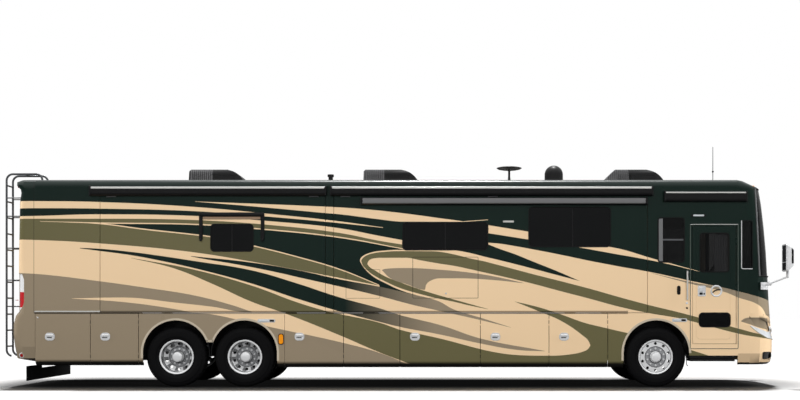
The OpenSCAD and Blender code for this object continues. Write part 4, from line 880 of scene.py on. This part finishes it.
axle_places = [("front", FRONT_AXLE, [0.0]), ("drive", DRIVE_AXLE, [0.0, -TWIN_PITCH]),
               ("tag", TAG_AXLE, [0.0])]
for axle, axle_x, insets in axle_places:
    for hand in ("left", "right"):
        for place, inset in enumerate(insets):
            if (axle, hand) == ("front", "left"):
                continue
            tyre = copy_of(first_tyre, f"tyre_tread_{axle}_{hand}_{place}", (axle_x - FRONT_AXLE, inset, 0),
                           hand == "right", f"wheel_{axle}_{hand}")
            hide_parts(f"tyre_{axle}_{hand}")
print("tyres:", 8, "triangles each about", len(first_tyre.data.polygons) * 2)

# %% Wheel nuts and hub caps
NUTS = 10
nut_seats = {"front": (0.147, 0.088), "drive": (0.138, -0.140), "tag": (0.138, -0.140)}
for axle, axle_x, _ in axle_places:
    ring_radius, seat = nut_seats[axle]
    select_none()
    bpy.ops.mesh.primitive_cylinder_add(vertices=6, radius=0.019, depth=0.034,
                                        rotation=(math.radians(90), 0, 0),
                                        location=(axle_x, TYRE_Y + seat + 0.015,
                                                  WHEEL_HEIGHT + ring_radius))
    nuts = bpy.context.object
    bpy.ops.object.transform_apply(location=True, rotation=True, scale=True)
    soften(nuts, 0.004, 2)
    edit(nuts)
    bpy.ops.mesh.spin(steps=NUTS - 1, dupli=True, angle=math.radians(360 - 360 / NUTS),
                      center=(axle_x, TYRE_Y, WHEEL_HEIGHT), axis=(0, 1, 0))
    bpy.ops.object.mode_set(mode="OBJECT")
    settle(nuts, f"wheel_nuts_{axle}_left", chrome, f"wheel_{axle}_left")
    copy_of(nuts, f"wheel_nuts_{axle}_right", mirrored=True, body=f"wheel_{axle}_right")
    valve = tube(f"valve_{axle}_left", [(axle_x + 0.236, TYRE_Y + 0.05, WHEEL_HEIGHT + 0.08),
                                        (axle_x + 0.232, TYRE_Y + 0.118, WHEEL_HEIGHT + 0.078)], 0.005,
                                        chrome,
                 f"wheel_{axle}_left")
    copy_of(valve, f"valve_{axle}_right", mirrored=True, body=f"wheel_{axle}_right")
print("wheel nuts on six wheels")

# %% [markdown]
# ## Wheel arches and sills
# Each arch has a pale lip, flush with the panel. It is one short profile spun round
# the arch's centre, with straight legs down to where the sill turns under.

# %% Arch lips
LIP_IN, LIP_OUT = ARCH_RADIUS - 0.004, ARCH_RADIUS + 0.034
CUSP_ANGLE, CUSP_HEIGHT = 19.9, 0.782
arches = [("tag", TAG_AXLE, 180, CUSP_ANGLE), ("drive", DRIVE_AXLE, 180 - CUSP_ANGLE, 0),
          ("front", FRONT_AXLE, 180, 0)]
legs = [("tag", TAG_AXLE - LIP_OUT, 0.50), ("drive", DRIVE_AXLE + LIP_IN, 0.46),
        ("front", FRONT_AXLE - LIP_OUT, 0.46)]
for side, hand in ((KERB, "right"), (ROAD, "left")):
    for name, centre_x, first, last in arches:
        arch_band(f"arch_lip_{name}_{hand}", side, centre_x, LIP_IN, LIP_OUT, first, last, 0.003, lip_paint)
    for name, x, foot in legs:
        side_box(f"arch_leg_{name}_{hand}", side, x, x + 0.038, foot, ARCH_HEIGHT + 0.002, 0.003, 0.004,
                 lip_paint,
                 into=0.021)
    side_box("arch_cusp_" + hand, side, TAG_AXLE + 0.53, DRIVE_AXLE - 0.53, CUSP_HEIGHT - 0.004,
             CUSP_HEIGHT + 0.034,
             0.003, 0.004, lip_paint, into=0.021)
    # The strip is the wall's lower flange; its pale colour is a painted highlight.
    side_box("belt_flange_highlight_" + hand, side, REAR_SEAM - 0.01, -5.103, 1.300, 1.322, 0.006, 0.003, bright_strip)
    # A dark strip behind the doors' feet closes the view through their gaps.
    near, far = sorted((side * 1.205, side * 1.215))
    rounded_box("sill_backing_" + hand, (-1.905, near, 0.350), (3.675, far, 0.430), 0.002, gasket)
print("arch lips done")

# %% [markdown]
# ## Windows
# Every window sits in a black rubber gasket, and most have a slim bar where their panes part.
# The quarter windows of the front cap follow the cap's curve, so their edging is a
# thin tube drawn along the skin.

# %% Gaskets and bars
windows = [
    # name, side, body, (x0, z0, x1, z1), corner, upright bars, level bars
    ("rear_room", KERB, "slide_rear", (-3.183, 2.356, -2.457, 2.815), 0.060, [-2.82], []),
    ("galley", KERB, "slide_front", (0.138, 2.379, 1.602, 2.848), 0.060, [0.87], []),
    ("lounge", KERB, "slide_front", (2.318, 2.434, 3.723, 3.111), 0.060, [3.074], []),
    ("road_bedroom", ROAD, "slide_left", (-3.900, 2.379, -2.900, 2.848), 0.060, [-3.4], []),
    ("road_middle", ROAD, "slide_left", (-0.700, 2.379, 0.700, 2.848), 0.060, [0.0], []),
    ("road_lounge", ROAD, "slide_left", (1.900, 2.434, 3.300, 3.111), 0.060, [2.6], []),
    ("kerb_cab", KERB, "root", (4.555, 2.168, 5.000, 2.929), 0.045, [], [2.550]),
    ("road_cab", ROAD, "root", (4.555, 2.054, 5.850, 2.929), 0.045, [5.2], [2.40]),
    ("entry_door", KERB, "entry_door", (5.283, 1.998, 5.773, 2.662), 0.045, [], []),
    ("entry_foot", KERB, "entry_door", (5.266, 1.048, 5.796, 1.280), 0.060, [], []),
]
for name, side, body, box, corner, uprights, levels in windows:
    x0, z0, x1, z1 = box
    grown = (x0 - 0.014, z0 - 0.014, x1 + 0.014, z1 + 0.014)
    wall_plate("gasket_" + name, side, grown, corner + 0.014, 0.005, 0.012, gasket, body, rim=0.020)
    for x in uprights:
        side_box(f"bar_{name}_{x:.1f}", side, x - 0.012, x + 0.012, z0 + 0.006, z1 - 0.006, 0.002, 0.003,
                 black_trim, body)
    for z in levels:
        side_box(f"level_bar_{name}", side, x0 + 0.01, x1 - 0.01, z - 0.014, z + 0.014, 0.001, 0.003,
                 satin_metal, body)
side_box("kerb_cab_sash", KERB, 4.563, 4.633, 2.180, 2.917, 0.003, 0.004, grey_sash_and_seal_highlight)
for side, hand in ((KERB, "right"), (ROAD, "left")):
    rear_x, front_x, low_z, high_z = 5.995, 6.186, 2.048, 2.884
    edging = [nose_side(x, low_z, side, 0.002) for x in (front_x, 6.12, 6.06, rear_x)]
    edging += [nose_side(rear_x, z, side, 0.002) for z in (2.3, 2.6, high_z)]
    tube("quarter_edge_" + hand, edging, 0.008, chrome, corner=0.03)
    rest = [nose_side(rear_x, high_z, side, 0.002), nose_side(front_x, high_z, side, 0.002),
            nose_side(front_x, low_z, side, 0.002)]
    tube("quarter_seal_" + hand, rest, 0.007, gasket, corner=0.02)
print("windows:", len(windows) + 2)

# %% [markdown]
# ## Latches, handles and the entry door
# A luggage door opens with a paddle in an oval chrome dish. The entry door has a
# bright frame, a lock plate, a round pull and a grab rail beside it.

# %% Door furniture
for node in doors:
    side = KERB if "_r" in node else ROAD
    low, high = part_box(node)[:2]
    x0, x1 = low[0] - 0.005 + 0.175, low[0] - 0.005 + 0.345
    wall_plate("latch_dish_" + node, side, (x0, 0.807, x1, 0.943), 0.060, 0.013, 0.006, chrome,
               body_of[node])
    side_box("latch_slot_" + node, side, x0 + 0.030, x1 - 0.045, 0.848, 0.868, 0.0145, 0.006, gasket,
             body_of[node])
    side_box("latch_paddle_" + node, side, x0 + 0.024, x1 - 0.022, 0.873, 0.918, 0.024, 0.016, chrome,
             body_of[node])
    side_box("latch_lock_" + node, side, x1 - 0.040, x1 - 0.022, 0.835, 0.853, 0.020, 0.008, chrome,
             body_of[node])
latch = (5.237, 1.571, 5.375, 1.756)
wall_plate("door_lock_plate", KERB, latch, 0.020, 0.008, 0.010, chrome, "entry_door")
side_box("door_lock_paddle", KERB, 5.262, 5.330, 1.650, 1.735, 0.018, 0.012, chrome, "entry_door")
side_box("door_lock_keyhole", KERB, 5.335, 5.362, 1.600, 1.632, 0.014, 0.010, gasket, "entry_door")
side_box("door_lock_slot", KERB, 5.262, 5.325, 1.596, 1.640, 0.010, 0.006, gasket, "entry_door")
pull_centre = (5.557, -(HALF_WIDTH + 0.002), 1.664)
lathe("door_pull_ring", [(0.100, 0.004), (0.102, -0.008), (0.094, -0.014), (0.076, -0.010), (0.070, -0.002),
                         (0.070, 0.004)],
      pull_centre, 40, chrome, "entry_door")
tube("door_pull_bar", [(5.495, -1.302, 1.64), (5.53, -1.316, 1.672), (5.585, -1.316, 1.688),
                       (5.622, -1.302, 1.69)],
     0.010, black_trim, "entry_door", corner=0.02)
wall_plate("door_frame_line", KERB, (5.1035, 0.66, 5.943, 2.820), 0.030, 0.003, 0.008,
           simple("door_frame_line", srgb(78, 86, 80), 0.4, variation=0.1), rim=0.012)
side_box("door_frame_top", KERB, 5.110, 5.936, 2.812, 2.822, 0.007, 0.003, bright_strip)
wall_plate("door_panel_rise", KERB, (5.216, 0.83, 5.810, 2.728), 0.060, 0.003, 0.006, body_paint,
           "entry_door", rim=0.010)
for z, size in ((1.455, 0.020), (1.370, 0.016)):
    side_box(f"rail_fitting_{z:.2f}", KERB, 5.050 - size, 5.050 + size, z - size, z + size, 0.012, 0.009,
             chrome if z > 1.4 else gasket)
wall_plate("door_side_lamp", KERB, (4.878, 1.600, 4.938, 1.756), 0.029, 0.014, 0.016, gasket)
wall_plate("porch_lamp_base", KERB, (5.125, 2.948, 5.376, 2.994), 0.020, 0.012, 0.014, gasket)
side_box("porch_lamp_lens", KERB, 5.155, 5.346, 2.953, 2.987, 0.028, 0.014, white_lens)
tube("step_rod", [(5.050, -1.20, 0.575), (5.062, -1.20, 0.45), (5.060, -1.20, 0.385),
                  (5.085, -1.20, 0.365)], 0.007,
     satin_metal, corner=0.015)
CURTAIN_START, FOLD_PITCH = 5.556, 0.031
for fold in range(8):
    x = CURTAIN_START + fold * FOLD_PITCH
    tube(f"door_curtain_fold_{fold}", [(x, -1.212, 2.006), (x, -1.206, 2.33), (x, -1.212, 2.654)], 0.0165,
         curtain_cloth,
         "entry_door")
print("door furniture done")

# %% [markdown]
# ## Lamps and small fittings of the sides
# Small clearance lamps run along the top, an orange reflector stands by the rear
# wheels, and bar-shaped docking lamps sit above the doors. The road side has what
# such a coach carries there: a refrigerator vent, a shore-power hatch and fillers.

# %% Side fittings
for side, hand in ((KERB, "right"), (ROAD, "left")):
    for column, room in ((111.5, "slide_rear"), (313.9, "slide_rear"), (345.4, "slide_front"),
                         (492.7, "slide_front")):
        x, z = along(column), height(196.5)
        side_box(f"case_badge_{hand}_{column:.0f}", side, x - 0.085, x + 0.085, z - 0.012, z + 0.010, 0.030,
                 0.008,
                 satin_metal, room if side == KERB else "slide_left")
    wall_plate("reflector_base_" + hand, side, (-2.022, 0.735, -1.922, 0.927), 0.040, 0.006, 0.008, gasket)
    wall_plate("reflector_" + hand, side, (-2.010, 0.747, -1.934, 0.915), 0.034, 0.014, 0.012, amber,
               edge=0.004)
    for x0, x1, z in ((-2.377, -2.069, 1.150), (4.792, 5.052, 1.160)):
        wall_plate(f"docking_base_{hand}_{x0:.1f}", side, (x0, z - 0.030, x1, z + 0.030), 0.022, 0.010,
                   0.012, chrome)
        side_box(f"docking_lens_{hand}_{x0:.1f}", side, x0 + 0.02, x1 - 0.11, z - 0.018, z + 0.018, 0.022,
                 0.012, white_lens)
        side_box(f"docking_end_{hand}_{x0:.1f}", side, x1 - 0.10, x1 - 0.02, z - 0.018, z + 0.018, 0.018,
                 0.010, gasket)
wall_plate("screen_hatch_seam", KERB, (0.304, 1.538, 1.441, 2.254), 0.020, 0.001, 0.003, gasket,
           "slide_front",
           rim=0.007, edge=0.0005)
side_box("screen_hatch_lock", KERB, 0.868, 0.898, 1.606, 1.636, 0.010, 0.009, chrome, "slide_front")
wall_plate("heater_hatch_seam", KERB, (-0.850, 1.536, -0.260, 2.04), 0.015, 0.001, 0.003, gasket,
           "slide_front",
           rim=0.005, edge=0.0005)
wall_plate("lounge_outlet_cover", KERB, (1.868, 2.850, 2.056, 2.882), 0.010, 0.010, 0.012, bright_strip,
           "slide_front")
side_box("rear_quarter_key", KERB, -6.194, -6.168, 1.190, 1.216, 0.010, 0.009, chrome, "bay_door_r1")
wall_plate("fridge_vent_frame", ROAD, (-1.90, 1.55, -1.35, 1.98), 0.030, 0.010, 0.012, black_trim,
           "slide_left", rim=0.03)
for step in range(9):
    z = 1.60 + step * 0.042
    side_box(f"fridge_vent_blade_{step}", ROAD, -1.885, -1.365, z, z + 0.022, 0.008, 0.006, black_trim,
             "slide_left")
wall_plate("power_hatch_seam", ROAD, (-5.95, 1.50, -5.65, 1.86), 0.030, 0.002, 0.004, gasket, rim=0.007,
           edge=0.0005)
side_box("power_hatch_lock", ROAD, -5.70, -5.675, 1.66, 1.685, 0.012, 0.009, chrome)
lathe("fuel_cap", [(0.062, -0.002), (0.062, 0.012), (0.050, 0.020), (0.020, 0.022), (0.018, 0.034),
                   (0.001, 0.034)],
      (3.95, HALF_WIDTH, 1.12), 32, chrome)
print("side fittings done")

# %% [markdown]
# ## Awnings
# Each room carries a black case with a bright upper edge and end caps; the patio
# awning has a bright lead rail, and the bedroom window's small awning two arms.

# %% Awning trim
cases = [("topper_rear", KERB, "slide_rear", -5.257, -1.192, 3.308, 3.472, 0.105),
         ("topper_front", KERB, "slide_front", -1.103, 4.442, 3.308, 3.472, 0.105),
         ("topper_left", ROAD, "slide_left", -5.160, 3.960, 3.308, 3.472, 0.105),
         ("patio", KERB, "slide_front", -0.578, 4.342, 3.152, 3.276, 0.120),
         ("door", KERB, "root", 4.657, 6.065, 3.207, 3.385, 0.096)]
for name, side, body, x0, x1, z0, z1, depth in cases:
    top = z1 - (0.012 if name != "door" else 0.018)
    strip = {"door": 0.022, "patio": 0.098}.get(name, 0.048)
    side_box("awning_rail_" + name, side, x0 + 0.012, x1 - 0.012, top - strip, top, depth + 0.002,
             min(0.024, strip / 2.2), patio_cover if name == "patio" else bright_strip, body, into=-0.012)
    for end, x in enumerate((x0, x1)):
        side_box(f"awning_end_{name}_{end}", side, x - 0.012, x + 0.012, z0 - 0.003, z1 + 0.003,
                 depth + 0.003, 0.008,
                 black_trim, body, into=-0.001)
for x in (-3.368 + 0.013, -2.302 + 0.013):
    lathe(f"window_awning_joint_{x:.1f}", [(0.020, 0.0), (0.022, -0.012), (0.012, -0.018), (0.001, -0.018)],
          (x, -(HALF_WIDTH + 0.040), 2.545), 20, black_trim, "slide_rear")
    side_box(f"window_awning_arm_{x:.1f}", KERB, x - 0.031, x + 0.031, 2.555, 2.985, 0.036, 0.012,
             black_trim, "slide_rear")
side_box("window_awning_roll", KERB, -3.386, -2.258, 2.950, 3.022, 0.060, 0.026, black_trim, "slide_rear")
side_box("window_awning_lead", KERB, -3.320, -2.325, 2.902, 2.950, 0.012, 0.005,
         simple("awning_cloth", srgb(150, 126, 104), 0.8, variation=0.25, scale=30), "slide_rear")
print("awnings trimmed")

# %% [markdown]
# ## Front
# The screen has a rubber seal all round, a pair of wipers and a slim centre post.
# Five clearance lamps sit above it. Below are lamps with round reflectors, a bright
# strip under each, the grille's bars and a blank plate.


# %% Front fittings
def along_nose(name, z, y_from, y_to, radius, material, out=0.004, steps=24):
    """A bead that runs round the front at one height."""
    ys = [y_from + (y_to - y_from) * k / steps for k in range(steps + 1)]
    return tube(name, [nose(y, z, out) for y in ys], radius, material)


SCREEN_LOW, SCREEN_HIGH = 1.924, 3.446
side_low = nose_side(FRONT_SEAM + 0.389, SCREEN_LOW, ROAD)
side_high = nose_side(FRONT_SEAM + 0.316, SCREEN_HIGH, ROAD)
along_nose("screen_seal_low", SCREEN_LOW, -side_low.y, side_low.y, 0.014, gasket, out=0.0)
along_nose("screen_seal_high", SCREEN_HIGH, -side_high.y, side_high.y, 0.014, gasket, out=0.0)
for side, hand in ((KERB, "right"), (ROAD, "left")):
    flank = [nose_side(side_low.x + (side_high.x - side_low.x) * k / 8,
                       SCREEN_LOW + (SCREEN_HIGH - SCREEN_LOW) * k / 8, side, 0.0) for k in range(9)]
    # Painted highlight: the seal's sides are grey where the light catches them; the rest of the seal is
    # black.
    tube("screen_seal_" + hand, flank, 0.014, grey_sash_and_seal_highlight)
    pivot = nose(side * 0.18 + 0.1, 1.83, 0.02)
    tip = nose(side * 0.62 + 0.1, 2.72, 0.03)
    tube("wiper_arm_" + hand, [pivot, pivot.lerp(tip, 0.5) + Vector((0.045, 0, 0)), tip], 0.009, gasket,
         corner=0.1)
    blade = [nose(side * 0.62 + 0.1 + 0.02 * k, 2.30 + 0.10 * k, 0.012) for k in range(9)]
    tube("wiper_blade_" + hand, blade, 0.010, gasket)
    lathe("wiper_pivot_" + hand, [(0.030, -0.03), (0.030, 0.0), (0.018, 0.02), (0.001, 0.02)], pivot, 24,
          gasket,
          direction="X")
    for k, (y, z) in enumerate(((0.86, 0.990), (1.06, 1.006))):
        spot = nose(side * y, z, -0.012)
        lathe(f"lamp_ring_{hand}_{k}", [(0.052, -0.01), (0.052, 0.008), (0.046, 0.012), (0.040, 0.006),
                                        (0.040, -0.01)],
              spot, 32, chrome, direction="X")
        lathe(f"lamp_bulb_{hand}_{k}", [(0.040, -0.01), (0.036, 0.004), (0.022, 0.012), (0.001, 0.014)],
              spot, 32,
              white_lens, direction="X")
    strip = [nose_side(x, z, side, 0.003) for x, z in ((6.150, 1.060), (6.290, 0.950), (6.470, 0.856))]
    strip += [nose(side * y, z, 0.003) for y, z in ((1.02, 0.838), (0.90, 0.824), (0.78, 0.816))]
    tube("lamp_strip_" + hand, strip, 0.009, chrome, corner=0.02)
    fog = nose(side * 0.93, 0.545, -0.02)
    lathe("fog_lamp_" + hand, [(0.055, -0.02), (0.055, 0.0), (0.046, 0.008), (0.001, 0.010)], fog, 32,
          glass,
          direction="X")
along_nose("screen_post", 2.0, 0.0, 0.0001, 0.004, gasket, steps=1)
tube("screen_middle_bar", [nose(0, SCREEN_LOW + 0.19 * k, -0.002) for k in range(9)], 0.010, gasket)
for y in (-0.95, -0.16, 0.0, 0.16, 0.95):
    spot = nose(y, 3.500, -0.012)
    rounded_box(f"clearance_lamp_{y:.2f}", (spot.x - 0.03, y - 0.045, 3.488),
                (spot.x + 0.022, y + 0.045, 3.520), 0.012, amber)
for step in range(5):
    z = 0.554 + step * 0.048
    x = FRONT_SEAM + reach(NOSE, z)
    rounded_box(f"grille_bar_{step}", (x - 0.040, -0.596, z - 0.003), (x - 0.008, 0.596, z + 0.019), 0.006,
                chrome)
rounded_box("grille_backing", (FRONT_SEAM + 0.711, -0.598, 0.523), (FRONT_SEAM + 0.716, 0.598, 0.797),
            0.001, gasket)
frame_path = [nose(y, z, 0.002) for y, z in ((-0.62, 0.505), (0.62, 0.505), (0.62, 0.815), (-0.62, 0.815))]
tube("grille_frame", frame_path, 0.010, chrome, cyclic=True)
rounded_box("front_plate", (nose(0, 0.88).x - 0.004, -0.152, 0.835),
            (nose(0, 0.88).x + 0.008, 0.152, 0.925), 0.003, blank_plate)
along_nose("bumper_crease_low", 0.478, -1.10, 1.10, 0.004, gasket, out=-0.001)
along_nose("nose_seam", 1.250, -1.20, 1.20, 0.004, gasket, out=-0.002)
print("front done")

# %% [markdown]
# ## Rear
# The engine's lid has two latches, a recess with a blank plate and its lamp, and
# red clearance lamps above. A round lamp sits low on each corner.

# %% Rear fittings
for y in (-0.95, -0.16, 0.0, 0.16, 0.95):
    spot = tail(y, 3.500, -0.012)
    rounded_box(f"rear_clearance_{y:.2f}", (spot.x - 0.024, y - 0.045, 3.480),
                (spot.x + 0.03, y + 0.045, 3.512), 0.012, red_lens)
back = tail(0, 0.75).x
rounded_box("plate_recess", (back - 0.004, -0.21, 0.655), (back + 0.02, 0.21, 0.830), 0.010, gasket)
rounded_box("rear_plate", (back - 0.010, -0.152, 0.675), (back - 0.002, 0.152, 0.805), 0.003, blank_plate)
rounded_box("plate_lamp", (back - 0.026, -0.07, 0.828), (back + 0.01, 0.07, 0.850), 0.008, chrome)
for y in (-0.62, 0.62):
    x = tail(0, 0.78).x
    rounded_box(f"lid_latch_{y:.1f}", (x - 0.016, y - 0.055, 0.745), (x + 0.01, y + 0.055, 0.805), 0.012,
                chrome)
rounded_box("vent_backing", (tail(0, 1.15).x + 0.055, -0.69, 0.865), (tail(0, 1.15).x + 0.062, 0.69, 1.175),
            0.001, gasket)
rounded_box("rear_camera", (tail(0, 3.30).x - 0.05, -0.06, 3.25), (tail(0, 3.30).x + 0.02, 0.06, 3.32),
            0.02, black_trim)
lathe("rear_camera_lens", [(0.022, 0.0), (0.022, 0.012), (0.014, 0.014), (0.001, 0.012)],
      (tail(0, 3.30).x - 0.046, 0, 3.285), 24, glass, direction="X", side=-1)
rounded_box("stop_lamp", (tail(0, 3.33).x - 0.014, -0.19, 3.335), (tail(0, 3.33).x + 0.02, 0.19, 3.360),
            0.008, red_lens)
for side, hand in ((KERB, "right"), (ROAD, "left")):
    lathe("corner_lamp_ring_" + hand, [(0.045, -0.02), (0.045, 0.006), (0.036, 0.010), (0.032, 0.002),
                                       (0.032, -0.02)],
          (-6.463, side * 1.262, 0.552), 32, chrome, side=side)
    lathe("corner_lamp_" + hand, [(0.032, -0.02), (0.030, 0.004), (0.016, 0.008), (0.001, 0.009)],
          (-6.463, side * 1.262, 0.552), 32, red_lens, side=side)
    lamp_x = tail(0, 1.6).x
    rounded_box("tail_lamp_bar_" + hand, (lamp_x - 0.004, side * 1.20 - 0.055, 1.500),
                (lamp_x + 0.02, side * 1.20 + 0.055, 1.515),
                0.004, chrome)
    rounded_box("bumper_reflector_" + hand, (tail(0, 0.62).x - 0.006, side * 0.95 - 0.09, 0.600),
                (tail(0, 0.62).x + 0.01, side * 0.95 + 0.09, 0.640), 0.008, red_lens)
tube("exhaust_pipe", [(-5.2, 0.72, 0.62), (-5.9, 0.72, 0.60), (-6.25, 0.80, 0.47), (-6.52, 0.80, 0.455)],
     0.052,
     satin_metal, corner=0.12)
lathe("exhaust_muffler", [(0.05, 0.0), (0.115, 0.03), (0.125, 0.06), (0.125, 0.62), (0.115, 0.65),
                          (0.05, 0.68)],
      (-5.80, 0.72, 0.64), 40, satin_metal, direction="X")
print("rear done")

# %% [markdown]
# ## Mirrors and roof
# The mirror heads are sunk for a tall glass and a round one below it. On the roof are
# three ribbed covers, a dome and antennas from the model; three low vents, a panel
# and seams complete it.

# %% Mirrors and roof
for side, hand in ((KERB, "right"), (ROAD, "left")):
    glass_x = FRONT_SEAM + 0.901 - 0.1435
    y0, y1 = sorted((side * 1.334, side * 1.546))
    rounded_box("mirror_glass_tall_" + hand, (glass_x - 0.004, y0, 2.165), (glass_x + 0.004, y1, 2.440),
                0.0035, mirror_glass)
    rounded_box("mirror_glass_wide_" + hand, (glass_x - 0.006, y0, 2.022), (glass_x + 0.004, y1, 2.150),
                0.0045, mirror_glass)
for x in (-5.62, -1.95, 2.30):
    rounded_box(f"roof_vent_{x:.1f}", (x - 0.21, -0.21, ROOF_TOP - 0.005),
                (x + 0.21, 0.21, ROOF_TOP + 0.085), 0.035, roof_skin)
    rounded_box(f"roof_vent_curb_{x:.1f}", (x - 0.24, -0.24, ROOF_TOP - 0.005),
                (x + 0.24, 0.24, ROOF_TOP + 0.022), 0.008, roof_skin)
rounded_box("solar_panel_frame", (1.05, 0.36, ROOF_TOP + 0.012), (2.55, 1.02, ROOF_TOP + 0.046), 0.006,
            satin_metal)
rounded_box("solar_panel_cells", (1.08, 0.39, ROOF_TOP + 0.040), (2.52, 0.99, ROOF_TOP + 0.048), 0.002,
            glass)
for x in (REAR_SEAM, FRONT_SEAM):
    rounded_box(f"roof_seam_{x:.0f}", (x - 0.020, -1.10, ROOF_TOP - 0.004),
                (x + 0.020, 1.10, ROOF_TOP + 0.003), 0.003, roof_skin)
print("roof done")

# %% [markdown]
# ## Floor, light and camera
# The studio is a white floor under an even sky, with a sun almost overhead whose
# shadow lies dark under the floor pan, and four wide soft lamps, one for each side,
# which light the vehicle and leave the floor to the sun. Painted shade from ambient
# occlusion darkens the floor's colour near and under the vehicle. The camera stands
# about twenty metres away at bumper height, a little ahead of the middle, and is
# levelled: shift frames the vehicle without tilting the lens, which keeps every upright
# of the body upright.

# %% Studio
CAMERA_DISTANCE = 20.7
HORIZON_ROW = 315.0
VANISHING_COLUMN = 439.0
PICTURE = (800, 400)
AMBIENT, HORIZON_IN_MIRRORS, ZENITH_IN_MIRRORS = 0.12, 0.22, 1.1

select_none()
bpy.ops.mesh.primitive_plane_add(size=600, location=(0, 0, 0))
floor_plane = bpy.context.object
floor_plane.name = "studio_floor"
studio = Finish("studio_floor", Roughness=1.0, Specular_IOR_Level=0.0)
seen = studio.node("ShaderNodeLightPath")
# Painted shade: ambient occlusion, cubed, darkens the floor's colour near and under the vehicle.
occlusion_shade = studio.node("ShaderNodeAmbientOcclusion", output=1, Distance=1.2)
pale = studio.mix(studio.noise(0.4, 2.0) * 0.02, (0.93, 0.93, 0.93, 1), (0.9, 0.9, 0.9, 1))
shaded = studio.mix(occlusion_shade * occlusion_shade * occlusion_shade, (0.0, 0.0, 0.0, 1), pale)
studio.feed("Base Color", studio.mix(seen, (0.14, 0.14, 0.14, 1), shaded))
studio.feed("Emission Color", (1, 1, 1, 1))
studio.feed("Emission Strength", 0.005)
floor_plane.data.materials.append(studio.material)

world = bpy.data.worlds.new("studio_world")
bpy.context.scene.world = world
world.use_nodes = True
sky = world.node_tree


def sky_node(kind, **sockets):
    new = sky.nodes.new(kind)
    for key, value in sockets.items():
        place = new.inputs[key.replace("_", " ")]
        if hasattr(value, "is_output"):
            sky.links.new(value, place)
        else:
            place.default_value = value
    return new


def sky_choice(switch, otherwise, chosen):
    mixer = sky_node("ShaderNodeMixShader", Fac=switch)
    sky.links.new(otherwise, mixer.inputs[1])
    sky.links.new(chosen, mixer.inputs[2])
    return mixer.outputs[0]


white = (1.0, 1.0, 1.0, 1.0)
ray = sky_node("ShaderNodeLightPath").outputs
direction = sky_node("ShaderNodeTexCoord").outputs["Generated"]
upward = sky_node("ShaderNodeSeparateXYZ", Vector=direction).outputs["Z"]
lift = sky_node("ShaderNodeMapRange", Value=upward, From_Min=0.08, From_Max=0.7, To_Min=HORIZON_IN_MIRRORS,
                To_Max=ZENITH_IN_MIRRORS).outputs[0]
even = sky_node("ShaderNodeBackground", Color=white, Strength=AMBIENT).outputs[0]
mirrored = sky_node("ShaderNodeBackground", Color=white, Strength=lift).outputs[0]
bright = sky_node("ShaderNodeBackground", Color=white, Strength=1.0).outputs[0]
backdrop = sky_choice(ray["Is Glossy Ray"], even, mirrored)
backdrop = sky_choice(ray["Is Transmission Ray"], backdrop, bright)
backdrop = sky_choice(ray["Is Camera Ray"], backdrop, bright)
sky.links.new(backdrop, sky.nodes["World Output"].inputs[0])

# The soft lamps light the vehicle and leave the floor to the sun, so that its shadow stays dark.
lamp_lit = bpy.data.collections.new("all_but_the_floor")
lamp_lit.objects.link(floor_plane)
lamp_lit.collection_objects[0].light_linking.link_state = "EXCLUDE"


def add_lamp(kind, name, location, target, energy, **settings):
    lamp = bpy.data.lights.new(name, kind)
    lamp.energy = energy
    for key, value in settings.items():
        setattr(lamp, key, value)
    holder = bpy.data.objects.new(name, lamp)
    bpy.context.collection.objects.link(holder)
    holder.location = location
    holder.rotation_euler = (Vector(target) - Vector(location)).to_track_quat("-Z", "Y").to_euler()
    return holder


SUN_PLACE, SUN_STRENGTH, SUN_SPREAD = (0, 3.8, 14), 3.4, 6
LAMP_HEIGHT, LAMP_AIM, LAMP_DEPTH = 7, 1.6, 9
soft_lamps = [  # name, along, across, width, watts
    ("kerb", 0, -24, 34, 5900), ("road", 0, 24, 34, 5900), ("front", 26, 0, 14, 6300),
              ("rear", -26, 0, 14, 4900)]
add_lamp("SUN", "overhead", SUN_PLACE, (0, 0, 0), SUN_STRENGTH, angle=math.radians(SUN_SPREAD))
for name, x, y, width, watts in soft_lamps:
    soft = add_lamp("AREA", "soft_" + name, (x, y, LAMP_HEIGHT), (x * 0.25, 0, LAMP_AIM), watts,
                    shape="RECTANGLE",
                    size=width, size_y=LAMP_DEPTH)
    soft.visible_glossy = False
    soft.light_linking.receiver_collection = lamp_lit

camera_data = bpy.data.cameras.new("side_view")
camera = bpy.data.objects.new("side_view", camera_data)
bpy.context.collection.objects.link(camera)
camera.location = (along(VANISHING_COLUMN), -(HALF_WIDTH + CAMERA_DISTANCE), height(HORIZON_ROW))
camera.rotation_euler = (math.radians(90), 0, 0)
camera_data.sensor_width = 36
camera_data.lens = 36 * CAMERA_DISTANCE / (PICTURE[0] * PIXEL)
camera_data.shift_x = -(VANISHING_COLUMN - PICTURE[0] / 2) / PICTURE[0]
camera_data.shift_y = (HORIZON_ROW - PICTURE[1] / 2) / PICTURE[0]
camera_data.clip_end = 2000
scene = bpy.context.scene
scene.camera = camera
scene.render.engine = "CYCLES"
scene.cycles.samples = 96
scene.cycles.use_denoising = True
scene.render.resolution_x, scene.render.resolution_y = 1600, 800
scene.view_settings.view_transform = "Standard"
print("lens:", round(camera_data.lens, 1), "mm")
